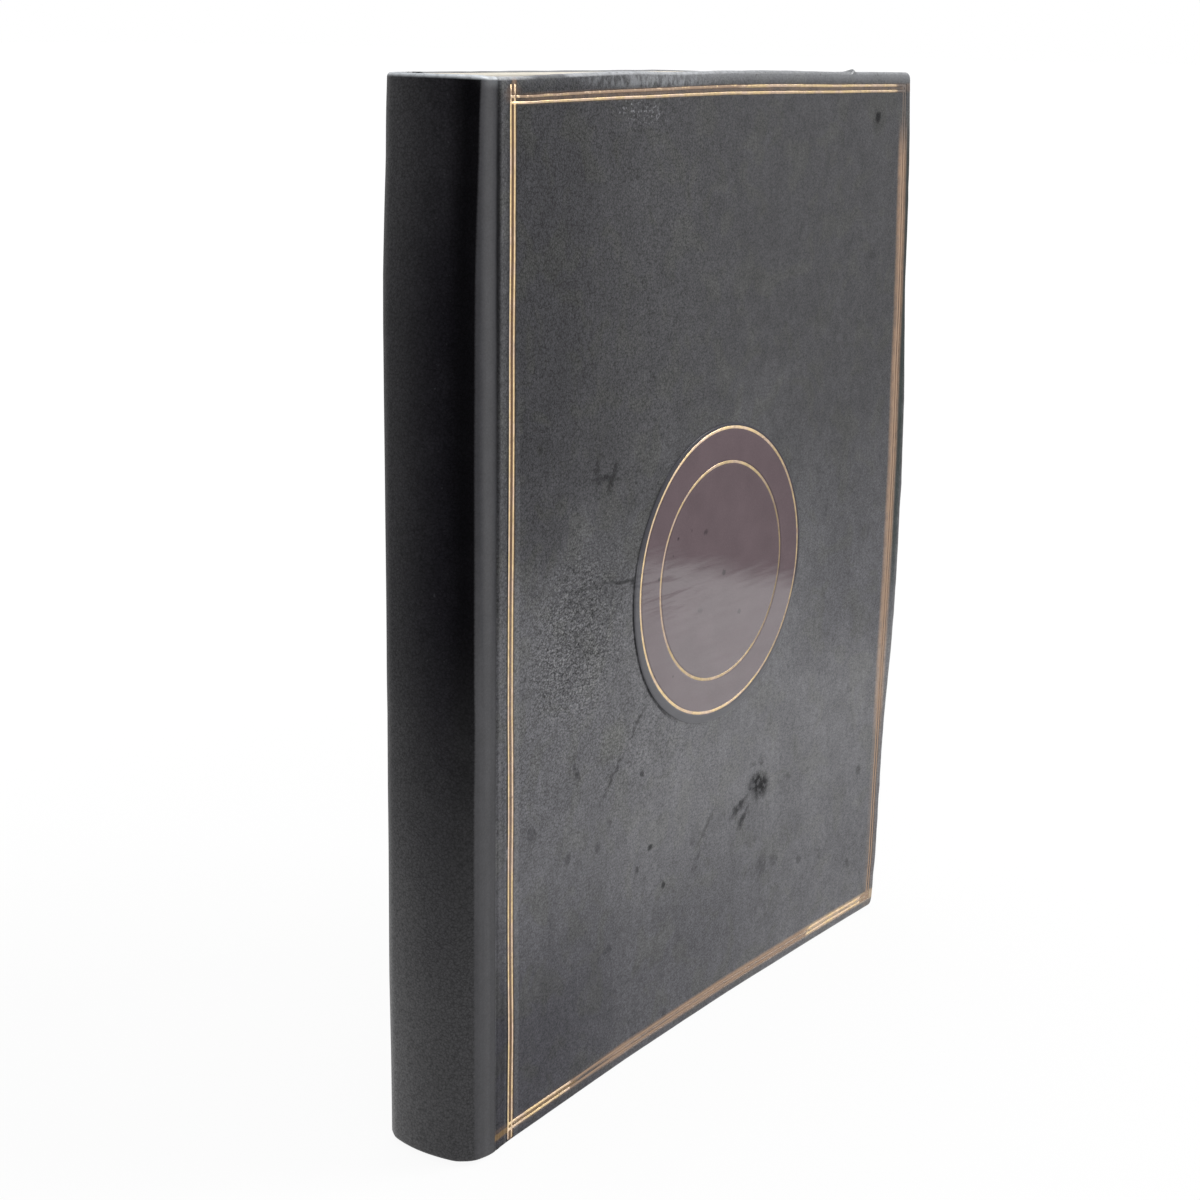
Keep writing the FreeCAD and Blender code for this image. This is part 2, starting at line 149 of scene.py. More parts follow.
class NotebookColours(bpy.types.PropertyGroup):
    """Colours of the notebook's materials, before wear."""
    cover: colour("Cover leather", "Dark green-grey leather", (0.0290, 0.0286, 0.0330))
    # cover_low: the cover's colour painted lighter below, as a painted reflection of the floor
    cover_low: colour("Reflecting leather", "The same leather where it is handled", (0.046, 0.0452, 0.055))
    # spine: painted much darker than the covers' leather, as shade; the leather itself is the same
    spine: colour("Spine leather", "The spine's darker leather", (0.0078, 0.0073, 0.0096))
    onlay: colour("Onlay", "Mauve leather of the onlay", (0.128, 0.094, 0.104))
    gold: colour("Gold leaf", "Bright gilding", (0.85, 0.64, 0.36))
    tan: colour("Rubbed gold", "Gilding rubbed nearly away", (0.37, 0.25, 0.17))
    vellum: colour("Vellum", "Leaves and endpapers", (0.92, 0.885, 0.80))
    board: colour("Board", "Grey pulp board", (0.33, 0.29, 0.23))
    linen: colour("Linen", "Tapes and mull", (0.72, 0.66, 0.52))


def chosen(context):
    """The sizes and colours that the panel shows."""
    return context.scene.notebook_sizes, context.scene.notebook_colours


def half_line(sizes):
    """Half the width of a gilt line, in millimetres."""
    return sizes.line / MM / 2


# ---- modelling helpers ----

def start_clean():
    if bpy.context.mode != "OBJECT":
        bpy.ops.object.mode_set(mode="OBJECT")
    bpy.ops.object.select_all(action="DESELECT")


def take(piece, mode="OBJECT"):
    """Makes one piece the only one selected, and opens it where edit mode is asked for."""
    start_clean()
    bpy.context.view_layer.objects.active = piece
    piece.select_set(True)
    if mode != "OBJECT":
        bpy.ops.object.mode_set(mode=mode)


def begin(name):
    """Names the new primitive, fixes its place in its mesh and opens it with nothing selected."""
    piece = bpy.context.object
    piece.name = piece.data.name = name
    bpy.ops.object.transform_apply(location=True, rotation=True, scale=True)
    bpy.ops.object.mode_set(mode="EDIT")
    bpy.ops.mesh.select_all(action="DESELECT")
    return piece


def add_block(name, low, high):
    start_clean()
    middle = [(a + b) / 2 for a, b in zip(low, high)]
    bpy.ops.mesh.primitive_cube_add(size=1, location=middle, scale=[b - a for a, b in zip(low, high)])
    return begin(name)


def add_sheet(name, across, up, low, high):
    """A flat grid on the bench between two corners."""
    start_clean()
    bpy.ops.mesh.primitive_grid_add(x_subdivisions=across, y_subdivisions=up, size=1, location=(0, 0, 0))
    piece = begin(name)
    bpy.ops.mesh.select_all(action="SELECT")
    resize((high[0] - low[0], high[1] - low[1], 1))
    move(((low[0] + high[0]) / 2, (low[1] + high[1]) / 2, 0))
    bpy.ops.object.mode_set(mode="OBJECT")
    return piece


def middle_of(item):
    return sum((vert.co for vert in item.verts), Vector()) / len(item.verts)


def runs_along(edge, axis):
    run = edge.verts[0].co - edge.verts[1].co
    return abs(run[axis]) > 0.999 * run.length


def pick(piece, kind, test):
    """Selects the faces, edges or points that pass a test, and nothing else."""
    bpy.ops.mesh.select_mode(type=kind)
    bpy.ops.mesh.select_all(action="DESELECT")
    shell = bmesh.from_edit_mesh(piece.data)
    items = {"FACE": shell.faces, "EDGE": shell.edges, "VERT": shell.verts}[kind]
    for item in items:
        if test(item):
            item.select_set(True)
    shell.select_flush_mode()
    bmesh.update_edit_mesh(piece.data)


def remove(piece, test):
    """Deletes the faces that pass a test."""
    pick(piece, "FACE", test)
    bpy.ops.mesh.delete(type="FACE")


def round_off(piece, test, radius, segments):
    """Bevels the edges that pass a test."""
    pick(piece, "EDGE", test)
    bpy.ops.mesh.bevel(offset=radius, segments=segments, affect="EDGES")


def cut(axis, places):
    """Straight cuts right through the piece at these places along an axis."""
    normal = [0, 0, 0]
    normal[axis] = 1
    bpy.ops.mesh.select_mode(type="VERT")
    for place in places:
        bpy.ops.mesh.select_all(action="SELECT")
        bpy.ops.mesh.bisect(plane_co=[place * n for n in normal], plane_no=normal, threshold=0.001)
    bpy.ops.mesh.select_all(action="DESELECT")


def spread(start, end, step):
    count = max(1, round((end - start) / step))
    return [start + (end - start) * i / count for i in range(count + 1)]


def move(vector):
    bpy.ops.transform.translate(value=vector)


def resize(value):
    """Scales what is picked about the bench's origin."""
    bpy.ops.transform.resize(value=value, center_override=(0, 0, 0))


def draw_out(vector):
    """Extrudes the picked edges into a new strip of faces."""
    bpy.ops.mesh.extrude_edges_move(TRANSFORM_OT_translate={"value": vector})


def shape(piece, way):
    """Moves every point of a finished mesh, as pressing and stretching leather does."""
    start_clean()
    for vert in piece.data.vertices:
        vert.co = way(vert.co)
    piece.data.update()


def apply_modifier(piece, kind, **settings):
    take(piece)
    modifier = piece.modifiers.new(kind.title(), kind)
    for name, value in settings.items():
        setattr(modifier, name, value)
    bpy.ops.object.modifier_apply(modifier=modifier.name)


def thicken(piece, thickness, offset=-1):
    """Gives a sheet its thickness in millimetres: inwards, or half to each side with offset 0."""
    apply_modifier(piece, "SOLIDIFY", thickness=thickness, offset=offset)


def join(name, parts):
    start_clean()
    for part in parts:
        part.select_set(True)
    bpy.context.view_layer.objects.active = parts[0]
    if len(parts) > 1:
        bpy.ops.object.join()
    parts[0].name = parts[0].data.name = name
    return parts[0]


def settle(piece, finish, smooth=40):
    """Scales a piece to metres, smooths its shading and gives it its finish."""
    take(piece)
    piece.scale = (MM, MM, MM)
    bpy.ops.object.transform_apply(location=True, rotation=True, scale=True)
    bpy.ops.object.shade_smooth_by_angle(angle=math.radians(smooth))
    piece.data.materials.append(finish)


def ease(low, high, value):
    """0 below low, 1 above high, and smooth between."""
    share = min(1.0, max(0.0, (value - low) / (high - low)))
    return share * share * (3 - 2 * share)


def along(places, x):
    """Value at x of a line drawn through (x, value) pairs."""
    for (x0, v0), (x1, v1) in zip(places, places[1:]):
        if x < x1:
            return v0 + (v1 - v0) * max(0.0, x - x0) / (x1 - x0)
    return places[-1][1]


# ---- the covers' form ----

# Height of a cover's head edge over the spine's, from joint to fore edge
HEAD_EDGES = {
    "front": ((-75.0, -0.95), (-68.0, -1.12), (-55.0, -0.8), (-35.0, -0.35), (-7.0, 0.08), (6.0, 0.2),
              (25.0, 0.17), (42.0, -0.12), (60.0, -0.35), (84.0, -0.5)),
    "back": ((-75.0, 0.0), (5.0, 0.0), (20.0, -0.3), (34.0, -0.66), (84.0, -1.3)),
}
# How far the leather over the front cover's fore edge stands out past the board, by height
FORE_EDGE = ((0.0, -0.7), (17.0, -0.5), (50.0, -0.35), (60.0, 0.5), (72.0, 1.45), (85.0, 1.85), (112.0, 1.85),
             (122.0, 1.4), (132.0, 1.45), (142.0, 0.8), (152.0, 0.0), (161.0, -0.5), (180.0, -0.05),
             (190.0, 0.08), (208.0, -0.3))
# How far the front cover's fore edge is warped towards the leaves, by height
FORE_WARP = ((0.0, 0.5), (13.0, 0.0), (35.0, -0.1), (60.0, -0.45), (90.0, -0.65), (120.0, -0.65), (140.0, -0.3),
             (160.0, 0.0), (176.0, 0.4), (190.0, 0.95), (205.0, 1.5), (210.4, 1.6))
# The spine's back is drawn in at the head and stands out below
SPINE_BACK = ((0.0, -0.4), (20.0, -0.55), (35.0, -0.68), (57.0, -0.6), (75.0, -0.55), (90.0, -0.35), (98.0, -0.45),
              (145.0, -0.42), (165.0, -0.4), (175.0, -0.25), (188.0, 0.35), (195.0, 0.75), (203.0, 0.95),
              (210.4, 1.4))
TAIL_DROP = 0.85    # the covers' tails stand this far below the spine's
TAIL_REACH = 14.0   # and the drop fades out over this height
LEAN = 0.6          # the joint's crease and the upright lines beside it lean this far at the tail
LEAN_FOOT, LEAN_TOP = -20.0, 125.0      # the heights between which they lean
BURR_X = 57.0       # a torn burr on the front cover's head edge
EDGE_RISE = 0.6     # near the joint the rim stands this far back up above the fall of the lines


def tail_drop(z):
    """How far a cover's leather is drawn down at a height."""
    return TAIL_DROP * (1 - ease(0.0, TAIL_REACH, z))


def fore_stand(z):
    """How far a fore edge stands out at a height, with the lumps of a worn edge."""
    lumps = 0.22 * noise.noise((z / 6, 4.1, 0.0)) + 0.14 * noise.noise((z / 2.2, 9.3, 0.0))
    return along(FORE_EDGE, z) + lumps


def lean(z):
    """How far what is beside the joint leans towards the fore edge at a height."""
    return LEAN * (1 - ease(LEAN_FOOT, LEAN_TOP, z))


class Side:
    """One cover, and the way from the bench to its place on the book."""

    def __init__(self, name, outward, sizes):
        self.name = name
        self.body = name + "_cover"
        self.outward = outward
        self.front = name == "front"
        self.setback = sizes.setback / MM if self.front else 0.0
        self.bow = sizes.hollow / MM if self.front else 0.0

    def sunk(self, x, z):
        """How far the cover's face lies behind the outside of the joint."""
        setback = self.setback * ease(JOINT_X, JOINT_X + 3, x)
        if self.front:
            setback += along(FORE_WARP, z) * (max(0.0, x - 20.0) / (FORE_X - 20.0)) ** 2
        if not self.bow:
            return setback
        span = FORE_X - HINGE_X
        radius = span ** 2 / (8 * self.bow) + self.bow / 2
        off_middle = x - (HINGE_X + span / 2)
        return setback + max(0.0, math.sqrt(radius ** 2 - off_middle ** 2) - radius + self.bow)

    def head(self, x):
        """Height of the head edge, with the small unevenness of worn leather."""
        return HEIGHT + along(HEAD_EDGES[self.name], x) + 0.09 * noise.noise((x / 5, 1.7, self.outward))

    def dent(self, x, z, inset):
        """How far the outside lies in: hand-made unevenness, and the crease down the joint."""
        uneven = (0.17 * noise.noise((x / 31, z / 31, 3.0 * self.outward))
                  + 0.06 * noise.noise((x / 11, z / 11, 7.0)))
        crease_x = CREASE_X + 0.5 * lean(z) + 0.2 * noise.noise((z / 14, 2.2, 0.0))
        crease = (0.18 + 0.16 * ease(60.0, 140.0, z)) * math.exp(-((x - crease_x) / 0.3) ** 2)
        return uneven * inset + crease

    def rise(self, x, z, height):
        """How far the front cover's rim stands up again at the joint and at the burr."""
        if not self.front:
            return 0.0
        burr = 0.6 * math.exp(-((x - BURR_X) / 0.7) ** 2) * ease(-1.9, -0.7, height)
        return (EDGE_RISE * (1 - ease(-35.0, -8.0, x)) * ease(HEIGHT - 2.3, HEIGHT - 0.8, z)
                + burr * ease(HEIGHT - 1.6, HEIGHT - 0.5, z))

    def place(self, x, z, height):
        """A point of the cover from its place on the bench."""
        outside = ease(-2.6, -0.8, height)
        inset = ease(JOINT_X + 1, JOINT_X + 6, x) * (1 - ease(FORE_X - 3, FORE_X, x))
        y = self.outward * (FLANK_Y - self.sunk(x, z) - outside * self.dent(x, z, inset) + height)
        stand = fore_stand(z) if self.front else 0.4 * fore_stand(z)
        up = ease(HEIGHT - 9.0, HEIGHT - 0.3, z)
        drift_x = 0.14 * noise.noise((z / 17, 2.0 * self.outward, 0.5)) * inset
        drift_x += lean(z) * ease(JOINT_X + 1, JOINT_X + 4, x) * (1 - ease(-62.0, -45.0, x))
        drift_z = 0.16 * noise.noise((x / 15, 6.0 * self.outward, 0.5)) * ease(0.5, 1.8, z) * (1 - up)
        tail = 0.05 * abs(noise.noise((x / 6, 8.0, 0.0))) * (1 - ease(0.2, 1.8, z)) - tail_drop(z)
        return Vector((x + ease(FORE_X - 2.6, FORE_X, x) * stand + drift_x, y,
                       z + up * (self.head(x) - HEIGHT) + self.rise(x, z, height) + drift_z + tail))

    def lay(self, piece):
        """Lays a piece made on the bench on its cover, right way out."""
        shape(piece, lambda co: self.place(co.x, co.y, co.z))
        if self.outward > 0:
            take(piece, "EDIT")
            bpy.ops.mesh.select_all(action="SELECT")
            bpy.ops.mesh.flip_normals()
            bpy.ops.object.mode_set(mode="OBJECT")


def sides(sizes):
    """Front and back."""
    return Side("front", -1, sizes), Side("back", 1, sizes)


def gilt_lines():
    """The frame of fillets on the bench: (axis it runs along, place across, start, end)."""
    left, right = HINGE_X + 3.1, FORE_X - 3.0
    head, tail = HEIGHT - 3.1, 2.6
    lines = []
    for place in (left, left + 1.25):
        lines.append((1, place, 1.0, HEIGHT - 1.5))
    for place in (right, right - 1.0):
        lines.append((1, place, tail, head))
    for place in (head, head - 1.35, tail, tail + 1.2):
        lines.append((0, place, left, right))
    return lines


# ---- shader helpers ----

class Field:
    """A number that varies over a surface. Sums and products of fields add Math nodes."""

    def __init__(self, nodes, socket):
        self.nodes = nodes
        self.socket = socket

    def math(self, operation, *values):
        return self.nodes.node("ShaderNodeMath", {"operation": operation}, dict(enumerate(values)))

    def __add__(self, other):
        return self.math("ADD", self, other)

    def __sub__(self, other):
        return self.math("SUBTRACT", self, other)

    def __mul__(self, other):
        return self.math("MULTIPLY", self, other)

    def __rsub__(self, other):
        return self.math("SUBTRACT", other, self)

    __radd__ = __add__
    __rmul__ = __mul__

    def bigger(self, other):
        return self.math("MAXIMUM", self, other)

    def size(self):
        return self.math("ABSOLUTE", self)

    def sine(self):
        return self.math("SINE", self)


class Nodes:
    """A node tree, and the one way of adding to it."""

    def __init__(self, tree):
        self.tree = tree

    def node(self, kind, settings=None, sockets=None, out=0):
        """One node: its settings first, then its sockets' values or links."""
        made = self.tree.nodes.new(kind)
        for name, value in (settings or {}).items():
            setattr(made, name, value)
        for name, value in (sockets or {}).items():
            if isinstance(value, Field):
                self.tree.links.new(value.socket, made.inputs[name])
            else:
                made.inputs[name].default_value = value
        return None if out is None else Field(self, made.outputs[out])

    def seen(self):
        """1 where the camera sees a surface, itself or in metal or glass, and 0 for its light on others."""
        camera, glossy, through = (self.node("ShaderNodeLightPath", out=f"Is {kind} Ray")
                                   for kind in ("Camera", "Glossy", "Transmission"))
        return camera.bigger(glossy).bigger(through)


class Finish(Nodes):
    """A material and the few ways of laying marks over it."""

    def __init__(self, name, shader):
        self.material = bpy.data.materials.new(name)
        self.material.use_nodes = True
        super().__init__(self.material.node_tree)
        self.shader = next(n for n in self.tree.nodes if n.type == "BSDF_PRINCIPLED")
        for socket, value in shader.items():
            self.shader.inputs[socket].default_value = value
        coordinates = self.node("ShaderNodeTexCoord", out="Object")
        self.mm = self.node("ShaderNodeVectorMath", {"operation": "SCALE"},
                            {"Vector": coordinates, "Scale": 1 / MM})
        self.x, self.y, self.z = (self.node("ShaderNodeSeparateXYZ", {}, {"Vector": self.mm}, out=axis)
                                  for axis in "XYZ")

    def set(self, name, value):
        self.tree.links.new(value.socket, self.shader.inputs[name])

    def stretch(self, sx, sy, sz, vector=None):
        return self.node("ShaderNodeVectorMath", {"operation": "MULTIPLY"},
                         {0: vector or self.mm, 1: (sx, sy, sz)})

    def noise(self, scale, detail=2.0, vector=None, out=0, distortion=0.0):
        return self.node("ShaderNodeTexNoise", {}, {
            "Vector": vector or self.mm, "Scale": scale, "Detail": detail, "Distortion": distortion}, out)

    def cells(self, scale, feature="F1", vector=None):
        return self.node("ShaderNodeTexVoronoi", {"feature": feature},
                         {"Vector": vector or self.mm, "Scale": scale}, out="Distance")

    def ramp(self, field, low, high):
        """0 below low, 1 above high; turned round when low is the larger."""
        return self.node("ShaderNodeMapRange", {"interpolation_type": "SMOOTHSTEP"},
                         {"Value": field, "From Min": low, "From Max": high, "To Min": 0.0, "To Max": 1.0})

    def across(self, low, high):
        """0 to 1 from one place to another, from spine to fore edge."""
        return self.ramp(self.x, low, high)

    def upward(self, low, high):
        """0 to 1 from one height to another."""
        return self.ramp(self.z, low, high)

    def band(self, field, middle, far, near):
        """1 where a field is near its middle value, 0 where it is far from it."""
        return self.ramp((field - middle).size(), far, near)

    def mix(self, share, first, second):
        """A colour part way from the first to the second."""
        as_colour = [c if isinstance(c, Field) else (*c, 1.0) for c in (first, second)]
        return self.node("ShaderNodeMix", {"data_type": "RGBA"},
                         {0: share, 6: as_colour[0], 7: as_colour[1]}, out=2)

    def shade(self, base, share):
        """A colour darkened or lightened by a share that varies."""
        return self.node("ShaderNodeVectorMath", {"operation": "SCALE"}, {"Vector": base, "Scale": share})

    def bump(self, height, distance):
        self.set("Normal", self.node("ShaderNodeBump", {}, {
            "Height": height, "Distance": distance * MM, "Strength": 1.0}))

    def wander(self, scale, reach):
        """Coordinates pushed about, so that shapes laid on them look natural."""
        push = self.noise(scale, 2.0, out="Color")
        centred = self.node("ShaderNodeVectorMath", {"operation": "SUBTRACT"}, {0: push, 1: (0.5, 0.5, 0.5)})
        scaled = self.node("ShaderNodeVectorMath", {"operation": "SCALE"}, {"Vector": centred, "Scale": reach})
        return self.node("ShaderNodeVectorMath", {"operation": "ADD"}, {0: self.mm, 1: scaled})

    def spot(self, vector, x, z, wide, high, turn=0.0, soft=0.5):
        """A soft oval on a cover's face, 1 in its middle."""
        mapped = self.node("ShaderNodeMapping", {"vector_type": "TEXTURE"}, {
            "Vector": vector, "Location": (x, 0, z), "Rotation": (0, math.radians(turn), 0),
            "Scale": (wide, 1e4, high)})
        far = self.node("ShaderNodeVectorMath", {"operation": "LENGTH"}, {0: mapped}, out="Value")
        return self.ramp(far, 1.0 + soft, 1.0 - soft)

    def lines(self, scale, width, vector=None):
        """Thin winding lines, 1 along their middle."""
        return self.band(self.noise(scale, 3.0, vector, distortion=0.8), 0.5, width, 0.0)

    def from_rings(self, off=(0.0, 0.0)):
        """Distance from the rings' centre, or from a point a little off it."""
        flat = self.node("ShaderNodeVectorMath", {"operation": "MULTIPLY"}, {0: self.mm, 1: (1, 0, 1)})
        return self.node("ShaderNodeVectorMath", {"operation": "DISTANCE"},
                         {0: flat, 1: (RING_X + off[0], 0, RING_Z + off[1])}, out="Value")


# ---- finishes ----

LEATHER = {"Roughness": 0.6, "Specular IOR Level": 0.1, "Coat IOR": 1.9, "Coat Roughness": 0.34}
BLACK, WHITE = (0.0, 0.0, 0.0), (1.0, 1.0, 1.0)

# Colours of wear on the covers and the spine, with painted shade for the creases and painted highlights for the head
# rims
STAIN_AND_SHADE, NICKED, BURNISHED = (0.004, 0.004, 0.005), (0.02, 0.02, 0.021), (0.012, 0.022, 0.019)
OLIVE, FADED, SCUFFED = (0.041, 0.042, 0.035), (0.062, 0.064, 0.052), (0.28, 0.28, 0.30)
RIM_HIGHLIGHT, FORE_WORN = (0.52, 0.54, 0.57), (0.16, 0.175, 0.175)
SPINE_RIM_HIGHLIGHT, SPINE_CLOUD, SPINE_SPECK = (0.66, 0.70, 0.74), (0.0155, 0.0147, 0.018), (0.10, 0.10, 0.11)

# What is left in the leather where gold was: beside the joint, at the head, in the tail lines' gap,
# along the tail and fore edge, and at the tail's far end
TAN_JOINT, TAN_HEAD, TAN_GAP = (0.21, 0.125, 0.07), (0.19, 0.125, 0.085), (0.24, 0.15, 0.055)
TAN_EDGES, TAN_END = (0.33, 0.205, 0.125), (0.46, 0.33, 0.19)
COPPERY, TARNISHED = (0.80, 0.60, 0.45), (0.10, 0.085, 0.08)

# The darker or yellower tone within each of the other materials
ONLAY_SPECK, OLD_VELLUM = (0.03, 0.022, 0.026), (0.87, 0.82, 0.72)
BOARD_FIBRE, LINEN_SHADE = (0.24, 0.21, 0.17), (0.35, 0.31, 0.24)

GRAIN = 0.6     # what the grain averages, and what smooth leather has all over


def goat_grain(finish, smooth):
    """Pebbled grain, lower where it is smooth: small cells with creases between, and short strokes."""
    loose = finish.wander(1.2, 0.5)
    pebbles = finish.ramp(finish.cells(1.5, "DISTANCE_TO_EDGE", loose), 0.0, 0.2)
    strokes = finish.ramp(finish.noise(1.7, 5.0, finish.stretch(0.75, 1.0, 1.2, loose)), 0.32, 0.68)
    return (pebbles * 0.5 + strokes * 0.5 - GRAIN) * (1.0 - smooth) + GRAIN


def lean_of(finish):
    """How far what is beside the joint leans at each height."""
    return finish.upward(LEAN_TOP, LEAN_FOOT) * LEAN


def upright(finish):
    """Distance across the cover from the joint, where what is beside the joint leans."""
    return finish.x - lean_of(finish)


def joint_crease_shade(finish):
    """Painted shade in the crease down the joint, deepest towards the head and shallow below."""
    wavy = finish.x - lean_of(finish) * 0.5 + finish.noise(0.12, 2.0) * 0.5 - 0.25
    deep = finish.upward(135.0, 178.0) * finish.upward(HEIGHT, HEIGHT - 14.0)
    wide = finish.band(wavy, CREASE_X, 1.1, 0.2)
    return wide * (deep * 0.5 + finish.upward(70.0, 130.0) * 0.15 + 0.33)


def head_drop(finish):
    """How far the front cover's head edge has fallen below the spine's."""
    return ((2.0 - finish.x) * 0.0165).bigger((finish.x - 25.0) * 0.0118).bigger(0.0) - 0.2


def rubbed_gold(finish, base):
    """Tan rubbed into the leather between and beside the paired lines."""
    broken = finish.ramp(finish.noise(0.5, 5.0), 0.3, 0.6) * 0.6 + 0.4
    patchy = finish.ramp(finish.noise(0.07, 3.0), 0.3, 0.6) * 0.35 + 0.65
    left = finish.band(upright(finish), HINGE_X + 3.9, 1.0, 0.4)
    corner = finish.spot(finish.wander(0.6, 1.5), HINGE_X + 3.6, HEIGHT - 3.4, 2.4, 1.6)
    below = finish.z + head_drop(finish) * 0.65
    head = finish.band(below, HEIGHT - 3.7, 1.35, 0.5) * finish.across(-70.5, -66.0)
    gap = finish.band(finish.z + TAIL_DROP, 3.2, 0.8, 0.5) * finish.across(-44.0, -47.0)
    tail = finish.band(finish.z + TAIL_DROP, 3.5, 1.7, 0.9)
    end = tail * finish.across(46.0, 56.0)
    tail = tail * (finish.across(-42.0, -26.0) * 0.8 + 0.2)
    fore = finish.band(finish.x, FORE_X - 3.8, 2.7, 1.0)
    fore = fore * finish.upward(201.0, 190.0) * (finish.upward(44.0, 58.0) * 0.75 + 0.25)
    base = finish.mix(left * 0.8, base, TAN_JOINT)
    base = finish.mix((head * broken).bigger(corner * 0.6) * 0.6, base, TAN_HEAD)
    base = finish.mix(gap * 0.7, base, TAN_GAP)
    base = finish.mix(tail.bigger(fore) * (broken * 0.5 + 0.5) * patchy * 0.9, base, TAN_EDGES)
    return finish.mix(end * broken * 0.8, base, TAN_END)


def head_highlight(finish, base, below, scuff, front):
    """The colour with a painted highlight along the head edge, and how strong it is; below is the depth under the edge.
    """
    head = finish.ramp(below, 0.85, 0.05)
    worn = 1.0 - finish.ramp((finish.x + 58.5).size(), 7.5, 4.0) * 0.65 - finish.across(-10.0, 15.0) * 0.3
    worn = worn * (1.0 - finish.spot(finish.mm, BURR_X, HEIGHT, 1.2, 1.6) * 0.95)
    rim = head * 0.25
    if front:
        # glow: a painted highlight on the face just under the front head edge
        glow = finish.ramp(below, 2.9, 0.5) * (finish.across(-45.0, 0.0) * 0.2 + 0.06)
        glow = glow.bigger(finish.spot(finish.mm, -22.0, HEIGHT - 0.8, 24.0, 1.8) * scuff * 0.34)
        rim = (head * (scuff * 0.3 + 0.7) * worn * 0.85).bigger(glow)
    return finish.mix(rim, base, RIM_HIGHLIGHT), head * worn


def worn_fore_edge(finish, base, scuff):
    """The colour with the fore edge burnished dark behind and scuffed before, and where it is burnished."""
    burnt = finish.across(FORE_X - 2.7, FORE_X - 1.3) * finish.across(FORE_X + 1.2, FORE_X - 0.4)
    burnt = burnt * finish.upward(72.0, 100.0) * finish.upward(203.0, 190.0)
    base = finish.mix(burnt * 0.7, base, BURNISHED)
    return finish.mix(finish.across(FORE_X - 1.6, FORE_X + 1.6) * scuff * 0.35, base, FORE_WORN), burnt


